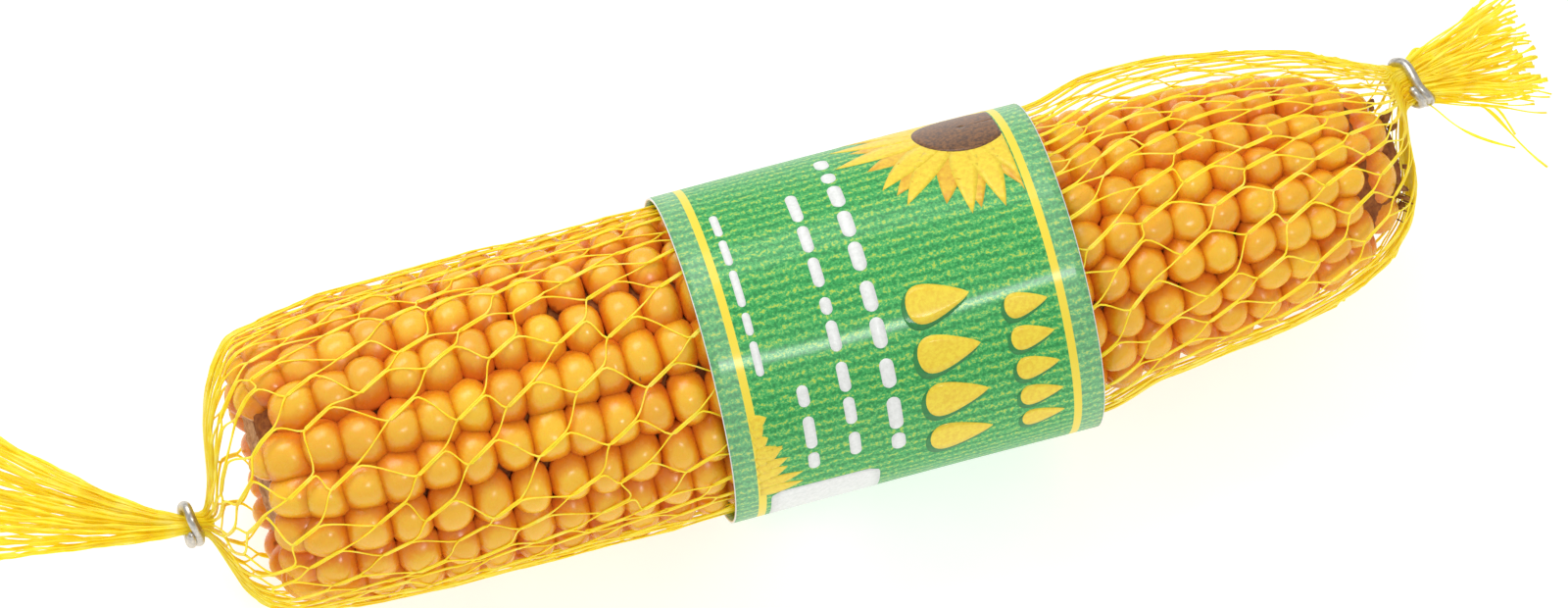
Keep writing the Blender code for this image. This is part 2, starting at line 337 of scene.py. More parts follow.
def net_material(look):
    """Yellow polyethylene, extruded as a net and stretched. It gives a waxy thread that light soaks into."""
    made, tree, shader = new_material("extruded_yellow_polyethylene")
    place = add_node(tree, "ShaderNodeTexCoord", {}, {})
    # The stretch leaves paler and deeper lengths of about 3 mm.
    draw = add_node(tree, "ShaderNodeTexNoise", {}, {
        "Vector": place.outputs["Object"], "Scale": 330.0, "Detail": 2.0,
    })
    colour = add_node(tree, "ShaderNodeValToRGB", {}, {"Fac": draw.outputs["Fac"]})
    set_ramp(colour, ((0.30, look.deep_colour), (0.52, look.thread_colour), (0.74, look.pale_colour)))
    tree.links.new(colour.outputs["Color"], shader.inputs["Base Color"])
    gloss = add_node(tree, "ShaderNodeMapRange", {}, {
        "Value": draw.outputs["Fac"], "To Min": 0.26, "To Max": 0.42,
    })
    tree.links.new(gloss.outputs[0], shader.inputs["Roughness"])
    shader.inputs["IOR"].default_value = 1.5
    # A faint glow of the thread's own colour, added when the net looked too dark. Its strength is
    # given and is not a measured property of the net.
    tree.links.new(colour.outputs["Color"], shader.inputs["Emission Color"])
    shader.inputs["Emission Strength"].default_value = look.thread_glow
    shader.inputs["Subsurface Weight"].default_value = 0.4
    shader.inputs["Subsurface Radius"].default_value = (1.0, 0.9, 0.25)
    shader.inputs["Subsurface Scale"].default_value = 0.0012
    return made


def clip_material(look):
    """Soft aluminium wire, drawn and then crimped. It gives a dull silver with paler worn spots."""
    made, tree, shader = new_material("drawn_aluminium_wire")
    place = add_node(tree, "ShaderNodeTexCoord", {}, {})
    # Worn spots about 0.7 mm across.
    wear = add_node(tree, "ShaderNodeTexNoise", {}, {
        "Vector": place.outputs["Object"], "Scale": 1400.0, "Detail": 4.0, "Roughness": 0.65,
    })
    colour = add_node(tree, "ShaderNodeValToRGB", {}, {"Fac": wear.outputs["Fac"]})
    set_ramp(colour, ((0.3, look.dull_colour), (0.7, look.bright_colour)))
    tree.links.new(colour.outputs["Color"], shader.inputs["Base Color"])
    gloss = add_node(tree, "ShaderNodeMapRange", {}, {
        "Value": wear.outputs["Fac"], "To Min": 0.22, "To Max": 0.46,
    })
    tree.links.new(gloss.outputs[0], shader.inputs["Roughness"])
    bump = add_node(tree, "ShaderNodeBump", {}, {
        "Strength": 0.25, "Distance": 0.00008, "Height": wear.outputs["Fac"],
    })
    tree.links.new(bump.outputs["Normal"], shader.inputs["Normal"])
    shader.inputs["Metallic"].default_value = 1.0
    return made


def coated_paper_material(look):
    """Coated paper, offset printed with a screened green and varnished. The screen leaves fine light and dark
    streaks with yellow-green specks, and the varnish gives a clear gloss over them."""
    made, tree, shader = new_material("varnished_printed_paper")
    sheet = add_node(tree, "ShaderNodeUVMap", {"uv_map": "sheet_mm"}, {})
    split = add_node(tree, "ShaderNodeSeparateXYZ", {}, {"Vector": sheet.outputs["UV"]})
    # Streaks run along the cob, one light and one dark in every 1.7 mm round the sleeve.
    waver = add_node(tree, "ShaderNodeTexNoise", {"noise_dimensions": "2D"}, {
        "Vector": sheet.outputs["UV"], "Scale": 0.5, "Detail": 2.0,
    })
    slide = add_node(tree, "ShaderNodeMath", {"operation": "MULTIPLY_ADD"}, {
        0: waver.outputs["Fac"], 1: 1.1, 2: split.outputs["Y"],
    })
    phase = add_node(tree, "ShaderNodeMath", {"operation": "MULTIPLY"}, {
        0: slide.outputs[0], 1: math.tau / 1.7,
    })
    streak = add_node(tree, "ShaderNodeMath", {"operation": "SINE"}, {0: phase.outputs[0]})
    # Screen dots, drawn at 0.45 mm because the real ones are too fine to show.
    stretch = add_node(tree, "ShaderNodeMapping", {}, {
        "Vector": sheet.outputs["UV"], "Scale": (0.8, 1.0, 1.0),
    })
    dots = add_node(tree, "ShaderNodeTexNoise", {"noise_dimensions": "2D"}, {
        "Vector": stretch.outputs["Vector"], "Scale": 2.2, "Detail": 2.0, "Roughness": 0.7,
    })
    streak_share = add_node(tree, "ShaderNodeMath", {"operation": "MULTIPLY_ADD"}, {
        0: streak.outputs[0], 1: 0.12, 2: dots.outputs["Fac"],
    })
    ground = add_node(tree, "ShaderNodeValToRGB", {}, {"Fac": streak_share.outputs[0]})
    set_ramp(ground, (
        (0.30, look.dark_green), (0.46, look.green), (0.60, look.light_green), (0.76, look.speck_green),
    ))
    # Two printed lines run round the sleeve, 1.2 mm wide and 3.5 mm in from each edge.
    away = add_node(tree, "ShaderNodeMath", {"operation": "ABSOLUTE"}, {0: split.outputs["X"]})
    line = add_node(tree, "ShaderNodeMath", {"operation": "COMPARE"}, {
        0: away.outputs[0], 1: 23.9, 2: 0.6,
    })
    lined = add_node(tree, "ShaderNodeMix", {"data_type": "RGBA"}, {
        0: line.outputs[0], 6: ground.outputs["Color"], 7: linear(look.line_yellow),
    })
    # The last 0.12 mm at each edge is bare white paper.
    edge = add_node(tree, "ShaderNodeMath", {"operation": "GREATER_THAN"}, {
        0: away.outputs[0], 1: SLEEVE_END - 0.12,
    })
    trimmed = add_node(tree, "ShaderNodeMix", {"data_type": "RGBA"}, {
        0: edge.outputs[0], 6: lined.outputs[2], 7: linear(look.paper_white),
    })
    # Outside the lines the green is a lighter screen tint.
    rim = add_node(tree, "ShaderNodeMath", {"operation": "GREATER_THAN"}, {0: away.outputs[0], 1: 24.5})
    rim_share = add_node(tree, "ShaderNodeMath", {"operation": "MULTIPLY"}, {0: rim.outputs[0], 1: 0.12})
    tinted = add_node(tree, "ShaderNodeMix", {"data_type": "RGBA"}, {
        0: rim_share.outputs[0], 6: trimmed.outputs[2], 7: linear(look.paper_white),
    })
    tree.links.new(tinted.outputs[2], shader.inputs["Base Color"])
    grain = add_node(tree, "ShaderNodeTexNoise", {"noise_dimensions": "2D"}, {
        "Vector": sheet.outputs["UV"], "Scale": 1.6, "Detail": 3.0,
    })
    gloss = add_node(tree, "ShaderNodeMapRange", {}, {
        "Value": grain.outputs["Fac"], "To Min": 0.42, "To Max": 0.58,
    })
    tree.links.new(gloss.outputs[0], shader.inputs["Roughness"])
    bump = add_node(tree, "ShaderNodeBump", {}, {
        "Strength": 0.10, "Distance": 0.0001, "Height": grain.outputs["Fac"],
    })
    tree.links.new(bump.outputs["Normal"], shader.inputs["Normal"])
    shader.inputs["IOR"].default_value = 1.5
    shader.inputs["Coat Weight"].default_value = 0.26
    shader.inputs["Coat Roughness"].default_value = 0.13
    return made


def ink_material(name, deep, pale, scale):
    """Opaque offset ink under varnish. The screen leaves faint mottling, and the varnish gives it a gloss.
    The mottling's scale is in patches per metre: 1500 makes them 0.7 mm across."""
    made, tree, shader = new_material(name)
    place = add_node(tree, "ShaderNodeTexCoord", {}, {})
    screen = add_node(tree, "ShaderNodeTexNoise", {}, {
        "Vector": place.outputs["Object"], "Scale": scale, "Detail": 3.0, "Roughness": 0.65,
    })
    colour = add_node(tree, "ShaderNodeValToRGB", {}, {"Fac": screen.outputs["Fac"]})
    set_ramp(colour, ((0.36, deep), (0.62, pale)))
    tree.links.new(colour.outputs["Color"], shader.inputs["Base Color"])
    gloss = add_node(tree, "ShaderNodeMapRange", {}, {
        "Value": screen.outputs["Fac"], "To Min": 0.42, "To Max": 0.58,
    })
    tree.links.new(gloss.outputs[0], shader.inputs["Roughness"])
    shader.inputs["IOR"].default_value = 1.5
    shader.inputs["Coat Weight"].default_value = 0.16
    shader.inputs["Coat Roughness"].default_value = 0.10
    return made


def backdrop_material(look):
    """Matt white card, the kind laid under small goods. It gives an even pale ground with no gloss.
    It also glows, as no real card does, to whiten the ground and light the cob from below."""
    made, tree, shader = new_material("matt_white_card")
    place = add_node(tree, "ShaderNodeTexCoord", {}, {})
    fibre = add_node(tree, "ShaderNodeTexNoise", {}, {
        "Vector": place.outputs["Object"], "Scale": 40.0, "Detail": 3.0,
    })
    colour = add_node(tree, "ShaderNodeValToRGB", {}, {"Fac": fibre.outputs["Fac"]})
    set_ramp(colour, ((0.3, look.floor_colour), (0.7, "#D2D2D1")))
    tree.links.new(colour.outputs["Color"], shader.inputs["Base Color"])
    shader.inputs["Roughness"].default_value = 0.9
    shader.inputs["Emission Color"].default_value = (1.0, 1.0, 1.0, 1.0)
    shader.inputs["Emission Strength"].default_value = look.floor_glow
    return made


# ---------------------------------------------------------------- stage


def make_stage(look):
    """The camera, the floor and the lights."""
    scene = bpy.context.scene
    a = math.radians(look.azimuth)
    e = math.radians(look.elevation)
    right = Vector((math.cos(a), math.sin(a), 0))
    up = Vector((-math.sin(e) * math.sin(a), math.sin(e) * math.cos(a), math.cos(e)))
    back = Vector((math.sin(a) * math.cos(e), -math.cos(a) * math.cos(e), math.sin(e)))
    # The cob is seen tilted in the view. These are the tilt's cosine and sine.
    tilt_cos = 0.9676
    tilt_sin = 0.2529
    along = tilt_cos * right + tilt_sin * up
    across = -tilt_sin * right + tilt_cos * up
    aim = Vector((0, 0, AXIS_HEIGHT * MM)) + look.slide_along * along + look.slide_across * across
    camera = bpy.data.cameras.new("camera")
    camera.lens = look.lens
    camera.sensor_width = 36.0
    camera.clip_start = 0.01
    camera.clip_end = 20.0
    holder = bpy.data.objects.new("camera", camera)
    scene.collection.objects.link(holder)
    holder.location = aim + look.distance * back
    holder.rotation_mode = "QUATERNION"
    holder.rotation_quaternion = (-back).to_track_quat("-Z", "Y")
    scene.camera = holder

    mesh = bpy.data.meshes.new("floor")
    size = 3.0
    corners = [(-size, -size, 0), (size, -size, 0), (size, size, 0), (-size, size, 0)]
    mesh.from_pydata(corners, [], [(0, 1, 2, 3)])
    floor = bpy.data.objects.new("floor", mesh)
    scene.collection.objects.link(floor)
    floor.data.materials.append(backdrop_material(look))

    world = bpy.data.worlds.new("studio")
    scene.world = world
    world.use_nodes = True
    sky = world.node_tree.nodes["Background"]
    sky.inputs["Color"].default_value = (1.0, 1.0, 1.0, 1.0)
    sky.inputs["Strength"].default_value = look.sky_strength
    for name, place, target, size, power in (
        ("key_light", (-0.15, 0.45, 0.75), (0.0, 0.0, 0.02), 0.40, look.key_power),
        ("front_light", (0.156, -0.615, 0.92), (0.0, 0.0, 0.02), 0.10, look.front_power),
    ):
        lamp = bpy.data.lights.new(name, "AREA")
        lamp.shape = "RECTANGLE"
        lamp.size = size * 1.6
        lamp.size_y = size
        lamp.energy = power
        spot = bpy.data.objects.new(name, lamp)
        spot.location = place
        spot.rotation_mode = "QUATERNION"
        spot.rotation_quaternion = (Vector(target) - Vector(place)).to_track_quat("-Z", "Y")
        scene.collection.objects.link(spot)
    scene.view_settings.view_transform = "Standard"


# ---------------------------------------------------------------- kernels and core


def outline_walk():
    """Distances along the ear's crown line from the butt, with where each lies."""
    x = np.linspace(EAR_START, EAR_END, 1200)
    r = ear_radius(x)[:, 0]
    walked = np.concatenate([[0.0], np.cumsum(np.hypot(np.diff(x), np.diff(r)))])
    return walked, x, r


def kernel_places(rule, draw):
    """Each kernel's place on the crown line, its angle, and its half sizes along and round the ear."""
    walked, xs, rs = outline_walk()
    pitch = np.interp(xs, *zip(*KERNEL_PITCH)) * rule.pitch / USUAL_PITCH
    count = np.concatenate([[0.0], np.cumsum(np.diff(walked) / ((pitch[1:] + pitch[:-1]) / 2))])
    rows = rule.rows
    found = []
    for row in range(rows):
        drift = [draw.uniform(-1, 1) for _ in range(6)]
        wave = [draw.uniform(0, math.tau) for _ in range(3)]
        number = -0.85
        while True:
            number += 1.0 + draw.uniform(-0.10, 0.10)
            near = float(np.interp(number, count, walked))
            drifted = number + 0.5 * (row % 2) + 0.35 * float(np.interp(near, np.linspace(0, 190, 6), drift))
            if drifted > count[-1] - 0.1:
                break
            if drifted < 0.12:
                continue
            at = float(np.interp(drifted, count, walked))
            x = float(np.interp(at, walked, xs))
            r = float(np.interp(at, walked, rs))
            if x > rule.last_row:
                break
            merged = r < JOINED_ROWS_RADIUS
            if merged and row % 2:
                continue
            step = math.tau / rows * (2 if merged else 1)
            angle = math.tau * row / rows
            wander = math.radians(1.3) * math.sin(at / 31 + wave[0])
            wander += math.radians(0.7) * math.sin(at / 13 + wave[1])
            angle += wander
            angle += math.radians(0.9) * draw.uniform(-1, 1)
            angle += math.radians(11.0) * np.clip((x - 20.0) / 55.0, 0.0, 1.2)
            half_along = float(np.interp(at, walked, pitch)) / 2
            half_round = r * step / 2
            found.append((at, x, r, angle, half_along, half_round))
    # A ring of kernels closes the tip.
    for n in range(TIP_KERNELS):
        x = EAR_END - 2.0 + draw.uniform(-0.4, 0.4)
        at = float(np.interp(x, xs, walked))
        r = float(np.interp(x, xs, rs)) + 0.2
        angle = math.tau * (n + 0.35) / TIP_KERNELS + draw.uniform(-0.09, 0.09)
        found.append((at, x, r, angle, 2.6, math.pi * r / TIP_KERNELS))
    return found, (walked, xs, rs)


def kernel_cloud(rule):
    """Points and faces of every kernel, with its crown and tint numbers, in three lots that the sleeve's ends
    divide."""
    draw = random.Random(rule.seed)
    places, (walked, xs, rs) = kernel_places(rule, draw)
    sides = 18
    turn = np.arange(sides) * math.tau / sides
    # Share of the half size, depth as a share of the dome, depth below the dome in mm, crown number.
    rings = (
        (0.26, 0.03, 0.0, 1.00), (0.48, 0.11, 0.0, 0.95), (0.66, 0.24, 0.0, 0.84), (0.80, 0.42, 0.0, 0.68),
        (0.905, 0.62, 0.0, 0.50), (0.97, 0.82, 0.0, 0.33), (1.00, 1.0, 0.0, 0.20), (0.93, 1.0, 2.2, 0.0),
    )
    groups = {"kernels_butt": [], "kernels_middle": [], "kernels_tip": []}
    for at, x, r, angle, half_along, half_round in places:
        skip = False
        shrink = 1.0
        nudge_x = 0.0
        nudge_t = 0.0
        for spot_x, spot_angle, reach in BARE_SPOTS:
            gap = (math.degrees(angle) - spot_angle + 180) % 360 - 180
            if math.hypot(x - spot_x, math.radians(gap) * r) < reach:
                skip = True
        for spot_x, spot_angle, reach in CHINKS:
            gap = (math.degrees(angle) - spot_angle + 180) % 360 - 180
            dx = x - spot_x
            dt = math.radians(gap) * r
            off = math.hypot(dx, dt)
            if off < reach + CHINK_MARGIN:
                push = CHINK_PUSH * (reach + CHINK_MARGIN - off) / (reach + CHINK_MARGIN)
                nudge_x += push * dx / (off + 0.1)
                nudge_t += push * dt / (off + 0.1)
                shrink = 1.0 - 0.16 * push
        tall = draw.uniform(-1, 1)
        size = draw.uniform(-1, 1)
        slant = (draw.uniform(-1, 1), draw.uniform(-1, 1))
        lobes = (draw.uniform(0, math.tau), draw.uniform(0, math.tau))
        square = draw.uniform(2.2, 3.0) if x < SLEEVE_END else draw.uniform(2.0, 2.4)
        dented = draw.random() < DENTED_SHARE
        dent_at = (draw.uniform(-0.35, 0.35), draw.uniform(-0.35, 0.35))
        tint = float(np.clip(draw.gauss(0, 0.40), -0.75, 0.9))
        # A missing kernel has had its random draws too, so the others stay as they are.
        if skip:
            continue
        step = 0.4
        r0 = float(np.interp(at - step, walked, rs))
        r1 = float(np.interp(at + step, walked, rs))
        x0 = float(np.interp(at - step, walked, xs))
        x1 = float(np.interp(at + step, walked, xs))
        slope = math.atan2(r1 - r0, x1 - x0)
        angle += nudge_t / r
        x += nudge_x
        out = np.array([-math.sin(slope), math.cos(slope)])
        ahead = np.array([math.cos(slope), math.sin(slope)])
        radial = np.array([0.0, math.sin(angle), -math.cos(angle)])
        round_way = np.array([0.0, math.cos(angle), math.sin(angle)])
        long_way = np.array([1.0, 0.0, 0.0])
        normal = out[0] * long_way + out[1] * radial
        tangent = ahead[0] * long_way + ahead[1] * radial
        a = half_along * 1.16 * (1 + 0.05 * size) * shrink
        b = half_round * 1.09 * (1 + 0.03 * size) * shrink
        dome = min(rule.dome, 0.9 * min(a, b) + 0.9) * (1 + 0.10 * tall)
        crown_r = r + 0.28 * tall
        centre = np.array([x, float(ear_bend(x)), AXIS_HEIGHT]) + radial * crown_r
        points = [centre + tangent * slant[0] * 0.2 + round_way * slant[1] * 0.2]
        crowns = [1.0]
        wobble = 1 + 0.035 * np.cos(2 * turn + lobes[0]) + 0.028 * np.cos(3 * turn + lobes[1])
        c = np.abs(np.cos(turn)) ** (2 / square) * np.sign(np.cos(turn))
        s = np.abs(np.sin(turn)) ** (2 / square) * np.sign(np.sin(turn))
        for share, drop, below, number in rings:
            rounder = 1 - share ** 2
            u = a * share * wobble * (c * (1 - rounder) + np.cos(turn) * rounder)
            v = b * share * wobble * (s * (1 - rounder) + np.sin(turn) * rounder)
            depth = dome * drop + below * (1.4 if x > 60 else 1.0)
            taper = max(0.55, (crown_r - depth) / crown_r)
            v = v * (taper if below else 1.0)
            tilt = 0.10 * (slant[0] * u + slant[1] * v) * (1 - drop)
            ring = centre + u[:, None] * tangent + v[:, None] * round_way
            level = -depth - 0.062 * v * v * (1 if not below else 0.5) + tilt * 0.6
            points.extend(ring + level[:, None] * normal)
            # The crown number falls from each crown down to the root, so the colour read from it darkens into
            # the grooves, partly as painted shade.
            crowns.extend(number - 0.13 * (v / b) ** 2 * share + 0.04 * np.cos(turn + lobes[0]))
        points = np.array(points)
        if dented:
            away = points - centre
            u = away @ tangent / a - dent_at[0]
            v = away @ round_way / b - dent_at[1]
            hollow = 0.36 * np.exp(-(u * u + v * v) / 0.16)
            points -= hollow[:, None] * normal
        where = "kernels_middle"
        if x < SLEEVE_START:
            where = "kernels_butt"
        if x > SLEEVE_END:
            where = "kernels_tip"
        groups[where].append((points, crowns, tint))
    made = {}
    for name, kernels in groups.items():
        cloud, faces, crown, tints = [], [], [], []
        for points, crowns, tint in kernels:
            first = len(cloud)
            cloud.extend(points)
            crown.extend(crowns)
            tints.extend([tint] * len(points))
            for i in range(sides):
                faces.append((first, first + 1 + (i + 1) % sides, first + 1 + i))
            faces.extend(tube_faces(len(rings), sides, first + 1, closed_ends=False))
            last = first + 1 + (len(rings) - 1) * sides
            faces.append(tuple(last + i for i in range(sides)))
        made[name] = (np.array(cloud), faces, crown, tints)
    return made


def make_core(look):
    """The woody cob under the kernels, a lathed body with a rough skin and cut ends."""
    sides = 96
    x = np.concatenate([
        np.linspace(EAR_START + 2.6, EAR_START + 8, 14)[:-1],
        np.linspace(EAR_START + 8, EAR_END - 8, 120)[:-1],
        np.linspace(EAR_END - 8, EAR_END, 16),
    ])
    depth = np.interp(x, (EAR_START, EAR_START + 4, 60, 72, EAR_END), (3.6, 4.5, 4.2, 3.5, 2.4))
    r = ear_radius(x)[:, 0] - depth
    turn = np.arange(sides) * math.tau / sides
    rough = np.random.default_rng(4).normal(0, 1, (len(x), sides))
    rough = (rough + np.roll(rough, 1, 1) + np.roll(rough, 1, 0)) / 3
    radius = r[:, None] + 0.28 * rough
    points = np.stack([
        np.repeat(x[:, None], sides, 1),
        ear_bend(x)[:, None] + radius * np.sin(turn),
        AXIS_HEIGHT - radius * np.cos(turn),
    ], axis=2).reshape(-1, 3)
    core = new_mesh("cob_core", points, tube_faces(len(x), sides))
    core.data.materials.append(cob_wood_material("cob_wood", look.wood_deep, look.wood_pale))
    return core


def make_end_face(name, x, outward, radius, look):
    """The sawn end of the cob: a spongy pith, a hard woody ring and a ragged ring of kernel sockets."""
    sides = 90
    shares = np.array([0.0, 0.12, 0.25, 0.36, 0.42, 0.47, 0.55, 0.64, 0.70, 0.76, 0.84, 0.92, 1.0, 1.0])
    lift = np.array([-0.1, 0.0, 0.25, 0.1, -0.2, 0.35, 0.45, 0.35, -0.3, -0.1, -0.5, -0.9, -1.2, -3.0])
    turn = np.arange(sides) * math.tau / sides
    grain = np.random.default_rng(8).normal(0, 1, (len(shares), sides))
    points = []
    for i, share in enumerate(shares):
        socket = 0.45 * np.cos(18 * turn) * np.clip((share - 0.6) * 3, 0, 1)
        level = lift[i] + 0.16 * grain[i] + socket
        r = radius * max(share, 0.01) * (1 + 0.015 * np.cos(5 * turn + 1))
        points.append(np.stack([
            x + outward * level,
            float(ear_bend(x)) + r * np.sin(turn),
            AXIS_HEIGHT - r * np.cos(turn),
        ], axis=1))
    faces = tube_faces(len(shares), sides)
    if outward > 0:
        faces = [tuple(reversed(face)) for face in faces]
    face = new_mesh(name, np.concatenate(points), faces)
    face.data.materials.append(cob_wood_material(name + "_pith", look.pith_deep, look.pith_pale))
    return face


def make_chaff(look):
    """Papery glumes and broken silk bases that stand between the kernels and at the tip."""
    draw = random.Random(31)
    # Each scale's rise, half width and bow, from its root to its torn edge.
    levels = ((0.0, 0.5, 0.0), (0.5, 0.62, 0.22), (0.85, 0.42, 0.30), (1.0, 0.12, 0.28))
    points, faces = [], []
    for spot in range(CHAFF_COUNT):
        tip = spot < TIP_CHAFF_COUNT
        if tip:
            x = EAR_END - draw.uniform(-0.2, 2.4)
            lean = 0.8
        else:
            x = draw.uniform(EAR_START + 6, EAR_END - 8)
            lean = draw.uniform(-0.4, 0.4)
        angle = draw.uniform(0, math.tau)
        r = float(ear_radius(x)[0]) - (draw.uniform(0.6, 2.4) if tip else draw.uniform(2.6, 3.2))
        size = draw.uniform(0.7, 1.6)
        radial = np.array([0.0, math.sin(angle), -math.cos(angle)])
        round_way = np.array([0.0, math.cos(angle), math.sin(angle)])
        up = radial + lean * np.array([1.0, 0, 0]) + draw.uniform(-0.5, 0.5) * round_way
        up /= np.linalg.norm(up)
        wide = np.cross(up, radial + 0.7 * np.array([draw.uniform(-1, 1), 0, 0]) + 0.3 * round_way)
        wide /= np.linalg.norm(wide)
        thick = np.cross(up, wide)
        root = np.array([x, float(ear_bend(x)), AXIS_HEIGHT]) + radial * r
        first = len(points)
        for rise, half, bow in levels:
            middle = root + up * rise * size * 1.5 + thick * bow * size
            for side, skin in ((-1, 0.05), (1, 0.05), (1, -0.05), (-1, -0.05)):
                points.append(middle + wide * side * half * size * 0.8 + thick * skin)
        faces.extend(tube_faces(len(levels), 4, first))
    chaff = new_mesh("chaff", points, faces)
    chaff.data.materials.append(cob_wood_material("dry_chaff", look.chaff_deep, look.chaff_pale))
    return chaff


def make_kernels(look):
    """Every kernel, the woody core, its two end faces and the chaff. They stand for the CAD cob."""
    seed_coat = seed_coat_material(look)
    for name, (cloud, faces, crown, tints) in kernel_cloud(look).items():
        kernels = new_mesh(name, cloud, faces)
        store(kernels, "crown", crown)
        store(kernels, "tint", tints)
        kernels.data.materials.append(seed_coat)
    core = make_core(look)
    make_end_face("butt_face", EAR_START + 2.4, -1, 14.0, look)
    make_end_face("tip_face", EAR_END - 0.3, 1, 5.6, look)
    make_chaff(look)
    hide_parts("cob")


# ---------------------------------------------------------------- net


# Steps between the net's bonds, in mm along the cob and round it: within a strand of each set.
STEP_ALONG = np.array((9.6, -1.2))
STEP_UP = np.array((7.47, 7.44))
FIRST_SET = 35
SECOND_SET = 45
BOND = np.array((1.9, 1.2))
BOND_POINTS = 5
LINK_POINTS = 6
LINK_PULL = 5.2
# Where the spare net is gathered, above and below the shown side: how much more of it lies there, at what
# angle, and how far it spreads.
BUTT_SPARE = ((3.8, 86.0, 36.0), (4.6, -96.0, 34.0))
TIP_SPARE = ((3.4, 64.0, 46.0), (4.2, -96.0, 32.0))
# Distance along the ear and the share of its size by which the net clings closer there.
CLING = ((-100, 0.0), (-93, 0.03), (-85, 0.09), (18, 0.09), (26, 0.03), (65, 0.03), (79, 0.02), (83, 0.0))
# How often a strand is straightened against the kernels.
PULL_ROUNDS = 70
# Between these distances from the middle the sleeve hides the net, which is then drawn with half its points.
HIDDEN_REACH = 24.0


def net_angles(upper, lower):
    """Places round the lattice, in mm from the middle of the shown side, with the ear angle where each lies.
    The net is wider than the cob, and its spare width is gathered at both sides. Each side is given by how
    much more net lies there, the angle where it is most, and how far it spreads."""
    off = np.radians(np.linspace(-180.0, 180.0, 721))
    share = np.ones_like(off)
    for more, middle, reach in (upper, lower):
        share += more * np.exp(-((off - math.radians(middle)) / math.radians(reach)) ** 2)
    arc = np.concatenate([[0.0], np.cumsum((share[1:] + share[:-1]) / 2 * np.diff(off))])
    whole = np.linalg.norm(STEP_UP * SECOND_SET - STEP_ALONG * FIRST_SET)
    arc = (arc / arc[-1] - 0.5) * whole
    return arc, off, whole


def net_walk():
    """Distances along the net's side from clip to clip, with where each lies."""
    x = np.linspace(BUTT_CLIP_X + 0.3, TIP_CLIP_X - 0.3, 1600)
    row = net_station(x)
    half = (row[:, 0] + row[:, 1]) / 2
    walked = np.concatenate([[0.0], np.cumsum(np.hypot(np.diff(x), np.diff(half)))])
    return walked, x


def lattice_strand(kind, number, jitter, span):
    """A strand's points as distance and arc, how far each leans to its own side, and its bonds."""
    lowest, highest = span
    step = STEP_UP if kind == 0 else STEP_ALONG
    start = STEP_ALONG * number if kind == 0 else STEP_UP * number
    reach = np.arange(-60, 90)
    chosen = [k for k in reach if lowest - 12 < start[0] + step[0] * k < highest + 12]
    lean = 1 if kind == 0 else -1
    centres, keys = [], []
    for k in chosen:
        i, j = (number, k) if kind == 0 else (k, number)
        turns = math.floor(i / FIRST_SET)
        key = (i - FIRST_SET * turns, j + SECOND_SET * turns)
        centres.append(start + step * k + jitter(key))
        keys.append(key)
    line, side, bonds = [], [], []
    bond_step = np.linspace(-1, 1, BOND_POINTS)
    for n, centre in enumerate(centres):
        bonds.append((len(line), keys[n]))
        for t in bond_step:
            line.append(centre + BOND * t)
            side.append(lean * (1.0 if abs(t) < 0.9 else 0.95))
        if n + 1 < len(centres):
            here = centre + BOND
            there = centres[n + 1] - BOND
            pull = BOND / np.linalg.norm(BOND) * LINK_PULL
            for t in (np.arange(LINK_POINTS) + 1) / (LINK_POINTS + 1):
                h0 = (1 + 2 * t) * (1 - t) ** 2
                h1 = t * (1 - t) ** 2
                h2 = t * t * (3 - 2 * t)
                h3 = t * t * (t - 1)
                line.append(h0 * here + h1 * pull + h2 * there + h3 * pull)
                side.append(lean * max(0.0, 1 - 2.2 * min(t, 1 - t)))
    return np.array(line), np.array(side), bonds


def kernel_tree():
    """A search tree over the kernels and core, for laying the net on them."""
    points, faces = [], []
    for name in ("kernels_butt", "kernels_middle", "kernels_tip", "cob_core"):
        piece = bpy.data.objects.get(name)
        if piece is None:
            raise RuntimeError("make the kernels before the net")
        first = len(points)
        points.extend(v.co / MM for v in piece.data.vertices)
        faces.extend(tuple(first + i for i in p.vertices) for p in piece.data.polygons)
    return BVHTree.FromPolygons(points, faces)


